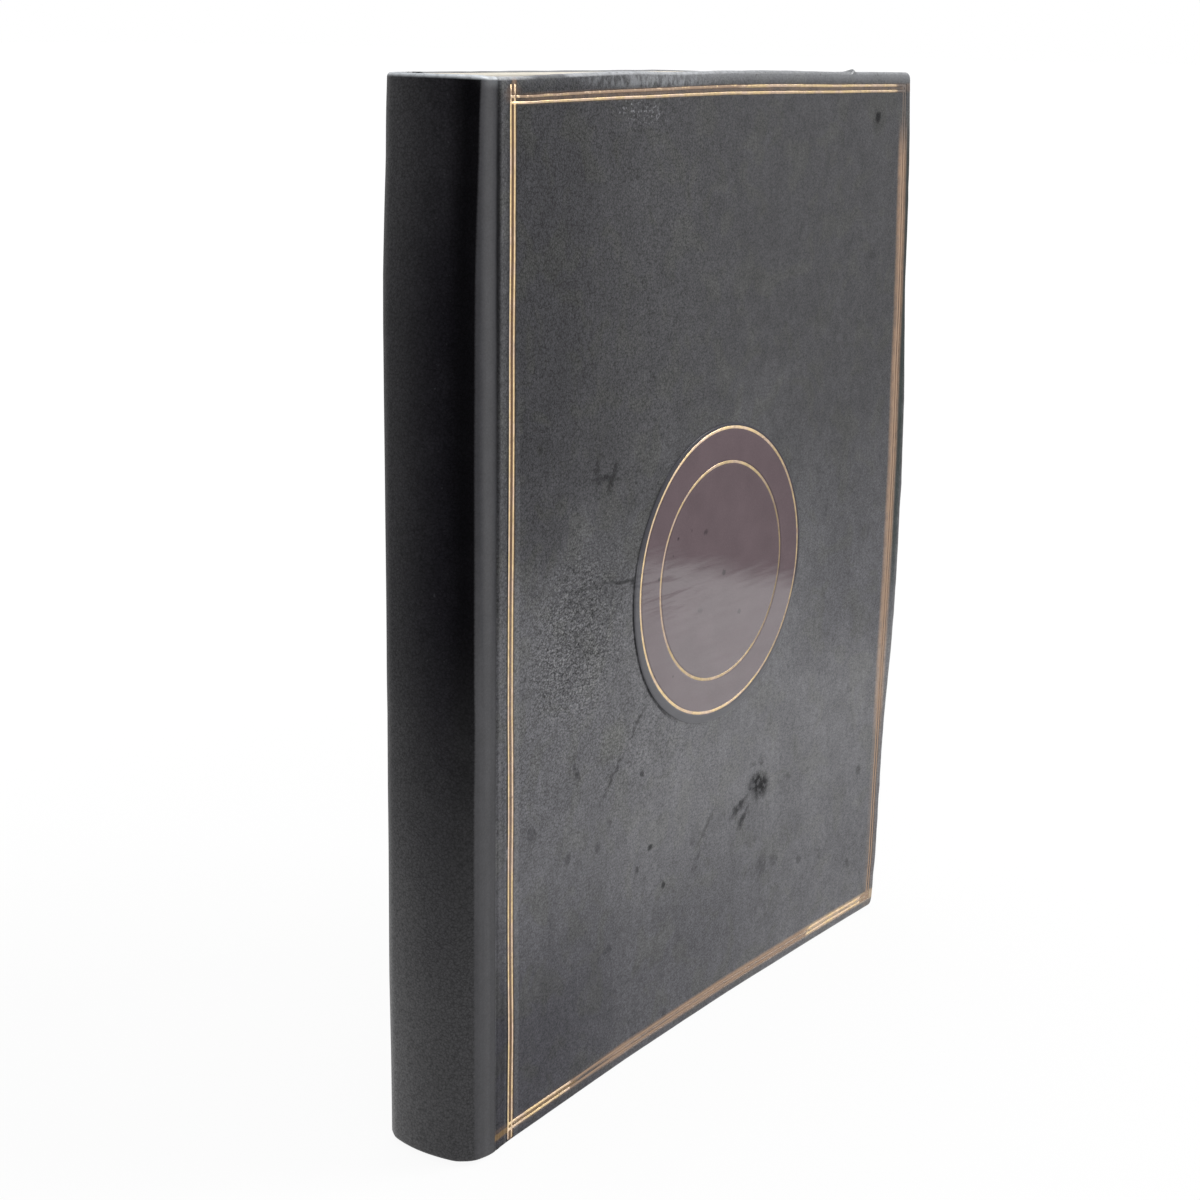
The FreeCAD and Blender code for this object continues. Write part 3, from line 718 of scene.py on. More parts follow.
def cover_finish(colours, name, front):
    """Dark grained leather, painted paler and shinier below as a reflection of the floor, with painted shade in its
    crease and folds, a painted highlight on its head rim, and the marks of its wear.
    """
    finish = Finish(name, LEATHER)
    slack = finish.spot(finish.wander(0.1, 8.0), -49.0, 101.0, 13.0, 15.0, 20)
    smooth = 0.3
    if front:
        smooth = finish.across(-25.0, 25.0).bigger(finish.upward(78.0, 50.0) * 0.8) * 0.4 - slack * 0.5
    grain = goat_grain(finish, smooth)
    cloud = finish.noise(0.05, 4.0)
    patch = finish.noise(0.16, 5.0, distortion=0.6)
    mottle = finish.noise(0.3, 4.0) * 0.6 + 0.7
    # reflecting: where the lower cover is painted paler, as a painted reflection of the floor
    reflecting = finish.ramp(finish.z + cloud * 60 - 30, 150.0, 72.0)
    base = finish.mix(reflecting, colours.cover, colours.cover_low)
    olive = finish.ramp(finish.noise(0.11, 5.0, distortion=0.8), 0.5, 0.62)
    base = finish.mix(olive * 0.4, base, OLIVE)

    # Painted sheen standing in for the floor's reflection: most in the lower middle, less at the tail, by the joint and
    # far across
    sheen = finish.across(-62.0, -20.0) * 0.18 + reflecting * 0.61
    sheen = sheen - finish.upward(60.0, 15.0) * (0.48 - finish.across(0.0, 50.0) * 0.26)
    sheen = sheen - finish.across(-20.0, -40.0) * finish.upward(92.0, 78.0) * 0.12
    sheen = sheen - finish.across(25.0, 60.0) * finish.upward(62.0, 85.0) * reflecting * 0.38

    # Dark marks: painted shade in the joint's crease and the fine folds of the slack skin, stains, a painted shadow at
    # the onlay's edge, and a groove beside the lines
    folds = finish.lines(0.45, 0.04, finish.stretch(1.0, 1.0, 1.5)) * slack
    dark = joint_crease_shade(finish).bigger(folds * 0.3)
    # Painted sheen: a band by the crease, one beside the gilt lines and one on the loose skin
    strip = finish.band(finish.x - CREASE_X, 2.0, 1.5, 0.5)
    beside = finish.band(upright(finish), HINGE_X + 5.6, 1.0, 0.4) * finish.upward(175.0, 120.0)
    sheen = sheen + strip * (0.2 - reflecting * 0.42) + beside * 0.24 + slack * 0.14 + 0.14
    if front:
        wrinkles = wrinkled(finish)
        dark = dark.bigger(front_marks(finish))
        groove = finish.band(upright(finish), HINGE_X + 2.52, 0.5, 0.2)
        groove = groove * finish.upward(160.0, 130.0) * finish.ramp(finish.noise(0.2, 3.0), 0.28, 0.42)
        dark = dark.bigger(groove * 0.95)
        faded = finish.spot(finish.wander(0.3, 3.0), -33.0, 74.5, 5.0, 3.6)
        base = finish.mix(faded * 0.5, base, FADED)
        loose = finish.wander(0.5, 2.2)
        pale = finish.spot(loose, -28.0, 203.0, 9.0, 2.4, 4) * finish.ramp(finish.noise(1.4, 5.0), 0.5, 0.68)
        base = finish.mix(pale * 0.6, base, SCUFFED)

    # The grain and the upright pull of the skin, then gold, the head rim's painted highlight and the worn fore edge
    # over it
    drawn = finish.noise(0.75, 4.0, finish.stretch(1.0, 1.0, 0.45)) * 0.6 + 0.7
    relief = (patch * 0.4 + 0.8) * mottle * drawn
    base = finish.shade(base, (grain * 1.15 + 0.31) * relief)
    # Stains, with painted shade in the crease and the fine folds
    base = finish.mix(dark * 0.88, base, STAIN_AND_SHADE)
    below = HEIGHT - finish.z
    if front:
        base = rubbed_gold(finish, base)
        below = below - head_drop(finish) + finish.across(-8.0, -35.0) * EDGE_RISE
    scuff = finish.ramp(finish.noise(0.9, 6.0, finish.stretch(1.0, 1.0, 0.5)), 0.38, 0.6)
    base, head = head_highlight(finish, base, below, scuff, front)
    base, burnt = worn_fore_edge(finish, base, scuff)
    nicks = finish.ramp(finish.noise(1.6, 4.0), 0.62, 0.70) * finish.ramp(below, 2.4, 0.9)
    base = finish.mix(nicks * 0.7, base, NICKED)

    # Painted sheen on the strip under the head edge; the coat also takes the head rim's painted highlight
    sheen = sheen + finish.ramp(below, 3.2, 2.4) * finish.across(-48.0, -30.0) * 0.14
    sheen = sheen * (grain * 0.8 + 0.52) * (patch * 0.6 + 0.7) * (drawn * 0.5 + 0.5)
    sheen = sheen * (1.0 - dark.bigger(burnt * 0.8) * 0.85)
    if front:
        sheen = sheen * (wrinkles * 0.9 + 1.0)
    finish.set("Base Color", base)
    finish.set("Coat Weight", sheen.bigger(head * 0.7))
    height = grain * 1.0 - folds * 0.6
    finish.bump(height + wrinkles * 1.2 if front else height, 0.1)
    return finish.material


def wrinkled(finish):
    """Loose skin left of the onlay: short wavy wrinkles, from -0.5 to 0.5."""
    slack = finish.spot(finish.wander(0.1, 8.0), -46.0, 100.0, 15.0, 18.0, 20)
    lie = finish.noise(1.7, 4.0, finish.stretch(0.6, 1.0, 1.7, finish.wander(0.4, 2.0)))
    return (finish.ramp(lie, 0.38, 0.62) - 0.5) * slack


def marks(finish, vector, places):
    """Stains laid on a surface: (x, z, width, height, turn, depth) each."""
    dark = finish.spot(vector, *places[0][:5]) * places[0][5]
    for *place, depth in places[1:]:
        dark = dark.bigger(finish.spot(vector, *place) * depth)
    return dark


def front_marks(finish):
    """Dark marks on the front cover: a blotch with streaks, creases, spots and specks, and a painted shadow along the
    onlay's raised left edge.
    """
    loose = finish.wander(0.45, 3.0)
    # torn breaks up the stains and the onlay's painted edge shadow
    torn = finish.ramp(finish.noise(0.75, 5.0), 0.36, 0.56) * 0.5 + 0.5
    dark = torn * marks(finish, loose, (
        (26.6, 48.3, 4.4, 2.8, 15, 1.08), (18.5, 45.4, 1.1, 4.4, 66, 0.85), (20.0, 41.8, 1.2, 3.0, 50, 0.85),
        (4.5, 44.5, 0.8, 4.2, 45, 0.45), (0.5, 37.5, 0.9, 2.6, 30, 0.35), (23.6, 54.1, 1.0, 0.7, 0, 0.45),
        (39.6, 46.9, 1.0, 0.7, 0, 0.45), (29.0, 27.6, 1.9, 3.0, 20, 0.36), (34.7, 27.2, 1.6, 1.4, 0, 0.34),
        (-47.3, 72.2, 2.0, 0.8, 60, 0.6), (-24.5, 77.0, 0.5, 4.6, 46, 0.6), (-34.0, 67.0, 0.5, 6.0, 44, 0.55),
        (-38.0, 131.6, 5.0, 0.8, 6, 0.8), (-35.8, 131.4, 1.1, 3.4, 30, 0.85), (-41.0, 134.0, 0.7, 3.4, 12, 0.55),
        (-46.0, 110.6, 12.0, 0.6, 4, 0.4), (68.0, 168.4, 1.6, 1.0, 0, 0.4)))
    dark = dark.bigger(marks(finish, finish.wander(0.3, 1.2), (
        (68.6, 199.9, 1.3, 1.35, 0, 1.1), (68.5, 199.0, 2.4, 2.6, 0, 0.32), (-31.0, 109.0, 4.2, 0.4, 8, 0.75),
        (-27.8, 108.2, 0.9, 0.8, 0, 0.7), (-18.7, 47.0, 0.9, 0.7, 0, 0.9), (-13.1, 36.2, 0.7, 0.9, 0, 0.85),
        (-22.5, 64.9, 0.8, 0.7, 0, 0.7), (-23.6, 43.2, 0.6, 0.8, 0, 0.6), (-60.6, 141.0, 0.6, 0.8, 0, 0.6),
        (-49.8, 108.6, 0.6, 0.6, 0, 0.7))))
    specks = finish.ramp(finish.cells(0.085, vector=loose), 0.15, 0.06)
    # Painted shadow of the onlay's raised edge, on its left and lower left
    onlay_edge_shadow = finish.band(finish.from_rings(ONLAY_OFF), 33.8, 0.5, 0.2)
    onlay_edge_shadow = onlay_edge_shadow * finish.ramp(finish.x + finish.z * 0.36, 21.0, 8.0) * (torn * 0.7 + 0.4)
    return dark.bigger(specks * 0.45 * finish.upward(90.0, 60.0)).bigger(onlay_edge_shadow)


def spine_finish(colours):
    """Painted much darker than the covers as shade, darkest beside the near corner, painted paler towards the tail as a
    reflection, and like the covers on the flanks.
    """
    finish = Finish("spine leather", {**LEATHER, "Specular IOR Level": 0.02})
    flank = finish.ramp(finish.y.size(), FLANK_Y - 0.45, FLANK_Y - 0.2)
    grain = goat_grain(finish, flank * 0.75)
    cloud = finish.noise(0.09, 5.0, distortion=0.5)
    mottle = finish.noise(0.4, 4.0) * 0.6 + 0.7
    low = finish.ramp(finish.z + cloud * 30 - 15, 118.0, 15.0)
    # near: painted shade beside the near corner, fading towards the tail
    near = finish.ramp(finish.y, -5.5, -9.5) * (1.0 - low)
    base = finish.mix(finish.ramp(cloud, 0.4, 0.68) * 0.5, colours.spine, SPINE_CLOUD)
    base = finish.shade(base, 1.0 - near * 0.7)
    base = finish.mix(flank, base, colours.cover)
    base = finish.shade(base, (grain * 0.8 + 0.52) * mottle)
    specks = finish.ramp(finish.noise(1.1, 6.0), 0.66, 0.76) * (1.0 - near)
    base = finish.mix(specks * 0.2, base, SPINE_SPECK)

    # Painted sheen for reflections towards the tail and the far corner, and a painted highlight on the ridge before
    # each joint
    far = finish.ramp(finish.y, -8.0, 10.0)
    level = finish.upward(135.0, 92.0)
    ridge = finish.band(finish.x, SPINE_X + 7.0, 3.0, 0.3).bigger(level * 0.8)
    # Painted shade in the joint's crease
    crease = joint_crease_shade(finish)
    base = finish.mix(crease * 0.88, base, STAIN_AND_SHADE)
    streaks = finish.noise(0.9, 3.0, finish.stretch(1.0, 1.0, 0.06)) * 0.3 + 0.85
    sheen = (low * 0.46 + far * 0.2 + finish.upward(165.0, 200.0) * 0.06 * (1.0 - near)) * (1.0 - flank)
    sheen = sheen + flank * (ridge * 0.35 + 0.15) * streaks
    sheen = sheen * (grain * 0.6 + 0.62) * (1.0 - crease * 0.85)

    # The head edge, which dips towards the front joint, painted pale as a highlight
    dipped = finish.across(SPINE_X, JOINT_X) * finish.ramp(finish.y, 2.0, -8.0) * 0.4
    below = HEIGHT - dipped - finish.z
    head = finish.ramp(below, 0.8, 0.1) * (finish.ramp(finish.noise(0.7, 5.0), 0.3, 0.55) * 0.25 + 0.75)
    glow = finish.ramp(below, 2.4, 0.6) * finish.across(SPINE_X + 4, JOINT_X) * 0.12
    base = finish.mix((head * 0.95).bigger(glow), base, SPINE_RIM_HIGHLIGHT)
    finish.set("Base Color", base)
    finish.set("Coat Weight", sheen.bigger(head * 0.8))
    finish.bump(grain, 0.08)
    return finish.material


def onlay_finish(colours):
    """Smooth mauve leather, painted shinier below a smeared line as a reflection of the floor, the smears its own;
    beyond its outer ring it is dyed like the cover.
    """
    finish = Finish("onlay leather", {**LEATHER, "Coat Roughness": 0.16})
    smear = finish.noise(0.5, 5.0, finish.stretch(0.12, 1.0, 1.6), distortion=0.3)
    # Painted reflection of the floor below a sloping line; the smear that breaks up the line is the leather's own
    line = finish.z + finish.x * 0.27 + smear * 9
    floor_reflection = finish.ramp(line, 114.6, 106.0)
    streaks = finish.ramp(finish.noise(0.8, 4.0, finish.stretch(0.15, 1.0, 2.2)), 0.5, 0.62)
    streaks = streaks * finish.ramp(line, 92.0, 104.0) * finish.across(6.0, -14.0)
    patch = finish.noise(0.14, 4.0)
    grain = finish.noise(2.8, 4.0)
    base = finish.shade(colours.onlay, patch * 0.4 + grain * 0.3 + 0.65)
    loose = finish.wander(0.8, 1.0)
    specks = finish.ramp(finish.cells(0.11, vector=loose), 0.075, 0.03)
    specks = specks.bigger(marks(finish, finish.wander(1.2, 1.4), (
        (0.1, 113.8, 0.8, 0.5, 0, 0.8), (8.0, 103.4, 0.7, 0.6, 0, 1.0), (14.8, 93.0, 0.6, 0.5, 0, 0.8),
        (-1.4, 96.7, 1.0, 0.5, 20, 0.6))))
    base = finish.mix(specks * 0.8, base, ONLAY_SPECK)
    margin = finish.ramp(finish.from_rings() + finish.noise(0.7, 3.0) * 0.5, RINGS[1] + 0.3, RINGS[1] + 0.8)
    base = finish.mix(margin, base, colours.cover_low)
    finish.set("Base Color", base)
    floor_reflection = floor_reflection * (1.0 - finish.ramp(finish.from_rings(), RINGS[0], RINGS[0] + 1.0) * 0.08)
    floor_reflection = floor_reflection * (smear * 0.4 + 0.74) * (1.0 - streaks * 0.5) * (1.0 - finish.across(-8.0, -22.0) * 0.14)
    finish.set("Coat Weight", floor_reflection * (1.0 - margin * 0.35) + margin * 0.15)
    finish.bump(grain * 0.7 + smear * 0.6, 0.03)
    return finish.material


def gold_finish(colours, name, worn):
    """Gold leaf, bright in places, darker on the rings, painted darker along the head lines as shade, and rubbed to tan
    where hands wore it.
    """
    finish = Finish(name, {"Roughness": 0.34})
    left = finish.noise(1.3, 6.0)
    kept, light, tan = 0.78, 1.0, colours.tan
    if worn:
        low = finish.upward(12.0, 6.0)
        rubbed = low * finish.across(-49.0, -46.0) * finish.across(56.0, 46.0)
        fore = finish.across(76.0, 79.0)
        high = finish.upward(HEIGHT - 5.4, HEIGHT - 4.8) * finish.across(-68.0, -64.0)
        faded = finish.upward(HEIGHT - 4.2, HEIGHT - 3.6) * finish.across(-66.0, -60.0)
        far = finish.from_rings()
        ring, inner = finish.ramp(far, 36.0, 34.0), finish.ramp(far, 29.0, 27.0)
        right = finish.across(14.0, 32.0) * ring
        crossing = finish.upward(HEIGHT - 4.8, HEIGHT - 4.2) * finish.across(-60.0, -65.0)
        faded = faded * finish.across(20.0, 0.0)
        kept = 0.80 - crossing * 0.24 - rubbed * 0.55 - fore * 0.48 - faded * 0.31 - right * 0.1
        gone = fore * finish.upward(188.0, 198.0)
        tan = finish.mix(gone * 0.85, tan, TARNISHED)
        # light: the head lines painted darker as shade, to hold down the light their edges catch; the rings darker
        # inside and most on their right side
        light = 1.0 - high * 0.36 - ring * 0.08 - right * 0.34 - inner * 0.24
    present = finish.ramp(left + kept, 1.0, 1.18)
    bright = finish.noise(0.22, 4.0)
    gilt = finish.mix(finish.ramp(bright, 0.36, 0.6), COPPERY, colours.gold)
    gilt = finish.shade(gilt, (finish.noise(0.9, 4.0) * 0.9 + 0.6) * light)
    finish.set("Base Color", finish.mix(present, tan, gilt))
    finish.set("Metallic", present * 0.9)
    finish.set("Roughness", 0.62 - present * 0.27)
    finish.bump(finish.noise(5.0, 3.0), 0.03)
    return finish.material


def vellum_finish(colours):
    """Calfskin: cream with yellower clouds and faint pores."""
    finish = Finish("vellum", {"Roughness": 0.55, "Specular IOR Level": 0.35})
    cloud = finish.noise(0.04, 5.0, distortion=0.4)
    pores = finish.ramp(finish.cells(1.6), 0.16, 0.05)
    base = finish.mix(finish.ramp(cloud, 0.35, 0.7), colours.vellum, OLD_VELLUM)
    base = finish.shade(base, 1.0 - pores * 0.08)
    finish.set("Base Color", base)
    finish.bump(finish.noise(1.2, 5.0) + pores * 0.3, 0.02)
    return finish.material


def board_finish(colours):
    """Grey pulp board with its fibres."""
    finish = Finish("pulp board", {"Roughness": 0.9, "Specular IOR Level": 0.2})
    fibre = finish.noise(0.9, 6.0, finish.stretch(0.4, 1.0, 1.0))
    finish.set("Base Color", finish.mix(finish.ramp(fibre, 0.35, 0.7), colours.board, BOARD_FIBRE))
    finish.bump(fibre, 0.06)
    return finish.material


def weave_finish(colours, name, pitch, gaps):
    """Plain weave of linen threads running up and across."""
    finish = Finish(name, {"Roughness": 0.85, "Specular IOR Level": 0.2})
    turns = 2 * math.pi / pitch
    cloth = (((finish.y + finish.x) * turns).sine() * (finish.z * turns).sine()).size()
    dark = finish.ramp(cloth, gaps, 0.0)
    finish.set("Base Color", finish.mix(dark * 0.7, colours.linen, LINEN_SHADE))
    finish.bump(cloth, 0.06)
    return finish.material


# ---- operators ----

class MakeCovers(bpy.types.Operator):
    """Leather over both boards and their joints, with turned-in edges and pressed lines"""
    bl_idname = "notebook.covers"
    bl_label = "Covers"

    def execute(self, context):
        sizes, colours = chosen(context)
        for side in sides(sizes):
            piece = self.leather(side, sizes)
            settle(piece, cover_finish(colours, side.name + " cover leather", side.front))
            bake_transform(piece)
            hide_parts(side.name + "_cover_leather", side.name + "_joint_leather")
        return {"FINISHED"}

    def leather(self, side, sizes):
        """A cover's leather: rounded rims, the strip of the joint, pressed lines and open turn-ins."""
        piece = add_block(side.name + "_cover_skin", (BOARD_X, 0, -COVER), (FORE_X, HEIGHT, 0))
        round_off(piece, lambda edge: runs_along(edge, 2) and middle_of(edge).x > BOARD_X + 1,
                  sizes.corner / MM, 4)
        round_off(piece, lambda edge: not runs_along(edge, 2) and middle_of(edge).x > BOARD_X + NEAR,
                  sizes.rim / MM, 3)
        remove(piece, lambda face: face.normal.x < -0.9)
        self.joint(piece, sizes)
        self.cuts(sizes)
        self.press_lines(piece, sizes)
        remove(piece, lambda face: face.normal.z < -0.9 and middle_of(face).x < FORE_X - TURN_IN
               and TURN_IN < middle_of(face).y < HEIGHT - TURN_IN)
        thicken(piece, sizes.skin / MM)
        side.lay(piece)
        return piece

    def joint(self, piece, sizes):
        """The strip that bends, drawn out from the outer face's edge."""
        rim = sizes.rim / MM + NEAR
        pick(piece, "EDGE", lambda edge: abs(middle_of(edge).x - BOARD_X) < NEAR
             and all(vert.co.z > -rim for vert in edge.verts))
        steps = 10
        for _ in range(steps):
            draw_out(((JOINT_X - BOARD_X) / steps, 0, 0))

    def cuts(self, sizes):
        """A net of cuts for the cover's form, closer along the tooled lines."""
        grid = sizes.grid / MM
        half = half_line(sizes)
        places = {0: spread(-68.5, FORE_X - 5, grid) + [FORE_X - TURN_IN, FORE_X - 2, FORE_X - 1.3],
                  1: spread(5.0, HEIGHT - 6, grid) + [TURN_IN, HEIGHT - TURN_IN, HEIGHT - 1.3]}
        for axis, place, start, end in gilt_lines():
            places[1 - axis] += [place - half - SLOPE, place - half, place + half, place + half + SLOPE]
        places[0] += [BURR_X + off for off in (-1.3, -0.8, -0.4, 0.0, 0.4, 0.8, 1.3)]
        places[1] += [1.0, HEIGHT - 2.4, HEIGHT - 1.5]
        for axis, cuts in places.items():
            cut(axis, cuts)

    def press_lines(self, piece, sizes):
        """Presses the beds of the gilt lines into the outer face."""
        half = half_line(sizes)

        def under_tool(face):
            at = middle_of(face)
            return face.normal.z > 0.9 and any(
                abs(at[1 - axis] - place) < half and start - half < at[axis] < end + half
                for axis, place, start, end in gilt_lines())

        pick(piece, "FACE", under_tool)
        move((0, 0, -sizes.press / MM))


class MakeBoards(bpy.types.Operator):
    """Boards inside both covers, and the lining that fills up between the turned-in edges"""
    bl_idname = "notebook.boards"
    bl_label = "Boards"

    def execute(self, context):
        sizes, colours = chosen(context)
        finish = board_finish(colours)
        for side in sides(sizes):
            for node, slot, outer, inner in (("board", "board", BOARD_OUTER, BOARD_INNER),
                                             ("board_infill", "card", BOARD_INNER, COVER)):
                low, high = box_mm(side.name + "_" + node)
                piece = add_block(side.name + "_made_" + node, (low.x, low.z, -inner), (high.x, high.z, -outer))
                for axis, start, end in ((0, low.x, high.x), (1, low.z, high.z)):
                    cut(axis, spread(start, end, 2 * sizes.grid / MM)[1:-1])
                side.lay(piece)
                settle(piece, finish)
                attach(piece, side.body)
                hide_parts(side.name + "_" + node)
        return {"FINISHED"}


class MakeSpine(bpy.types.Operator):
    """Leather round the spine, turned in at head and tail, over its stiff card"""
    bl_idname = "notebook.spine"
    bl_label = "Spine"

    def execute(self, context):
        sizes, colours = chosen(context)
        leather = self.channel("spine_skin", 0.0, 0.0)
        self.turn_in(leather, 1, HEIGHT)
        self.turn_in(leather, -1, 0.0)
        round_off(leather, self.on_rim, sizes.rim / MM, 3)
        card = self.channel("spine_card", 0.6, 0.9)
        remove(card, lambda face: abs(face.normal.z) > 0.9)
        for piece, finish, node, slot in (
                (leather, spine_finish(colours), "spine_leather", "cover_leather"),
                (card, board_finish(colours), "spine_stiffener", "card")):
            self.form(piece, sizes)
            settle(piece, finish)
            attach(piece, "book_block")
            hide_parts(node)
        return {"FINISHED"}

    def channel(self, name, inside, ends):
        """A block open towards the leaves, its two upright corners rounded."""
        piece = add_block(name, (SPINE_X + inside, inside - FLANK_Y, ends),
                          (JOINT_X - inside, FLANK_Y - inside, HEIGHT - ends))
        pick(piece, "FACE", lambda face: face.normal.x > 0.9)
        bpy.ops.mesh.delete(type="ONLY_FACE")
        round_off(piece, lambda edge: runs_along(edge, 2) and middle_of(edge).x < JOINT_X - 5,
                  SPINE_CORNER - inside, 8)
        return piece

    def turn_in(self, piece, way, level):
        """Folds the leather over the end of the spine and down inside it."""
        pick(piece, "FACE", lambda face: face.normal.z * way > 0.9 and abs(middle_of(face).z - level) < NEAR)
        bpy.ops.mesh.inset(thickness=1.2, use_boundary=False)
        bpy.ops.mesh.extrude_region_move(TRANSFORM_OT_translate={"value": (0, 0, -SPINE_TURN_IN * way)})
        bpy.ops.mesh.delete(type="FACE")
        remove(piece, lambda face: all(abs(vert.co.x - JOINT_X) < NEAR for vert in face.verts))

    def on_rim(self, edge):
        """True round the outside of either end."""
        at = middle_of(edge)
        if min(abs(at.z), abs(at.z - HEIGHT)) > NEAR or runs_along(edge, 2):
            return False
        from_corner = Vector((min(0.0, at.x - SPINE_X - SPINE_CORNER),
                              max(0.0, abs(at.y) - FLANK_Y + SPINE_CORNER)))
        return from_corner.length > SPINE_CORNER - 0.1

    def form(self, piece, sizes):
        """A slightly round back, drawn in at the head, the head edge dipping to the front joint."""
        take(piece, "EDIT")
        cut(2, spread(3.0, HEIGHT - 3, sizes.grid / MM))
        cut(1, spread(-6.5, 6.5, 1.3))
        cut(0, [JOINT_X - 1.2, JOINT_X - 2.6, JOINT_X - 4.0])
        thicken(piece, sizes.skin / MM)

        def press(co):
            back = 1 - ease(SPINE_X + 2, JOINT_X - 1, co.x)
            sag = SPINE_ROUND - math.sqrt(SPINE_ROUND ** 2 - min(abs(co.y), 9.0) ** 2)
            uneven = 0.12 * noise.noise((co.y / 9, co.z / 26, 2.0))
            dip = (along(HEAD_EDGES["front"], JOINT_X) + EDGE_RISE) * ease(SPINE_X, JOINT_X, co.x)
            dip *= (1 - ease(-8.0, 2.0, co.y)) * ease(HEIGHT - 9, HEIGHT - 0.5, co.z)
            flank = ease(SPINE_X + 1, JOINT_X, co.x) * ease(5.0, 10.0, abs(co.y))
            dip -= flank * tail_drop(co.z)
            return Vector((co.x + back * (sag + along(SPINE_BACK, co.z) + uneven), co.y, co.z + dip))

        shape(piece, press)


class MakeOnlay(bpy.types.Operator):
    """Round onlay of thin leather, with the beds of its two rings"""
    bl_idname = "notebook.onlay"
    bl_label = "Onlay"

    def execute(self, context):
        sizes, colours = chosen(context)
        side = sides(sizes)[0]
        piece = self.disc(sizes)
        shape(piece, lambda co: self.settle_on(side, co))
        settle(piece, onlay_finish(colours), smooth=60)
        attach(piece, "front_cover")
        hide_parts("onlay_disc")
        return {"FINISHED"}

    def disc(self, sizes):
        """Rings of faces drawn out from a small round, pressed down under the gilt rings."""
        start_clean()
        last = 2.0
        bpy.ops.mesh.primitive_circle_add(vertices=180, radius=last, fill_type="NGON")
        piece = begin("onlay")
        proud, half = sizes.onlay_proud / MM, half_line(sizes)
        pressed = proud - sizes.press / MM
        loops = [(radius, proud) for radius in (5, 9, 13, 17, 21)]
        for ring in RINGS:
            loops += [(ring - half - 0.4, proud), (ring - half - SLOPE, proud), (ring - half, pressed),
                      (ring + half, pressed), (ring + half + SLOPE, proud), (ring + half + 0.4, proud)]
        edge = sizes.onlay / MM
        loops.insert(-6, (28.0, proud))
        loops += [(edge - 0.6, proud), (edge - 0.35, proud), (edge - 0.12, proud * 0.85), (edge, proud * 0.4),
                  (edge + 0.02, -0.2)]
        bpy.ops.mesh.select_all(action="SELECT")
        move((0, 0, proud))
        pick(piece, "EDGE", lambda edge: edge.is_boundary)
        level = proud
        for radius, height in loops:
            draw_out((0, 0, height - level))
            resize((radius / last, radius / last, 1))
            last, level = radius, height
        return piece

    def settle_on(self, side, co):
        """The outer edge was cut a little off the rings' centre and by hand."""
        far = math.hypot(co.x, co.y)
        outer = ease(32.3, 33.2, far)
        wobble = 1 + 0.004 * outer * noise.noise((co.x / 7, co.y / 7, 0.0))
        return side.place(RING_X + co.x * wobble + ONLAY_OFF[0] * outer,
                          RING_Z + co.y * wobble + ONLAY_OFF[1] * outer, co.z)


class MakeGilding(bpy.types.Operator):
    """Gold leaf in the pressed lines of both covers and the onlay's rings"""
    bl_idname = "notebook.gilding"
    bl_label = "Gilding"

    def execute(self, context):
        sizes, colours = chosen(context)
        for side in sides(sizes):
            parts = [self.line(side, sizes, *line) for line in gilt_lines()]
            if side.front:
                parts += [self.ring(side, sizes, radius) for radius in RINGS]
            piece = join(side.name + "_gilding", parts)
            settle(piece, gold_finish(colours, side.name + " gold", side.front), smooth=60)
            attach(piece, side.body)
            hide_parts(side.name + "_gilt_tooling")
        return {"FINISHED"}

    def line(self, side, sizes, axis, place, start, end):
        """One line of leaf, its edges rounded into the impression."""
        half = half_line(sizes)
        floor, bevel = -sizes.press / MM, 0.04
        low, high = [0, 0, floor - bevel], [0, 0, floor + 0.05]
        low[axis], high[axis] = start - half, end + half
        low[1 - axis], high[1 - axis] = place - half, place + half
        piece = add_block("gilt_line", low, high)
        round_off(piece, lambda edge: middle_of(edge).z > floor + bevel, bevel, 1)
        cut(axis, spread(start, end, 2.0)[1:-1])
        side.lay(piece)
        return piece

    def ring(self, side, sizes, radius):
        """One ring of leaf, low and round, in its bed on the onlay."""
        start_clean()
        bpy.ops.mesh.primitive_torus_add(major_radius=radius, minor_radius=sizes.line / MM * 0.6,
                                         major_segments=200, minor_segments=8)
        piece = begin("gilt_ring")
        bpy.ops.mesh.select_all(action="SELECT")
        resize((1, 1, 0.3))
        move((0, 0, (sizes.onlay_proud - sizes.press) / MM + 0.01))
        shape(piece, lambda co: side.place(RING_X + co.x, RING_Z + co.y, co.z))
        return piece


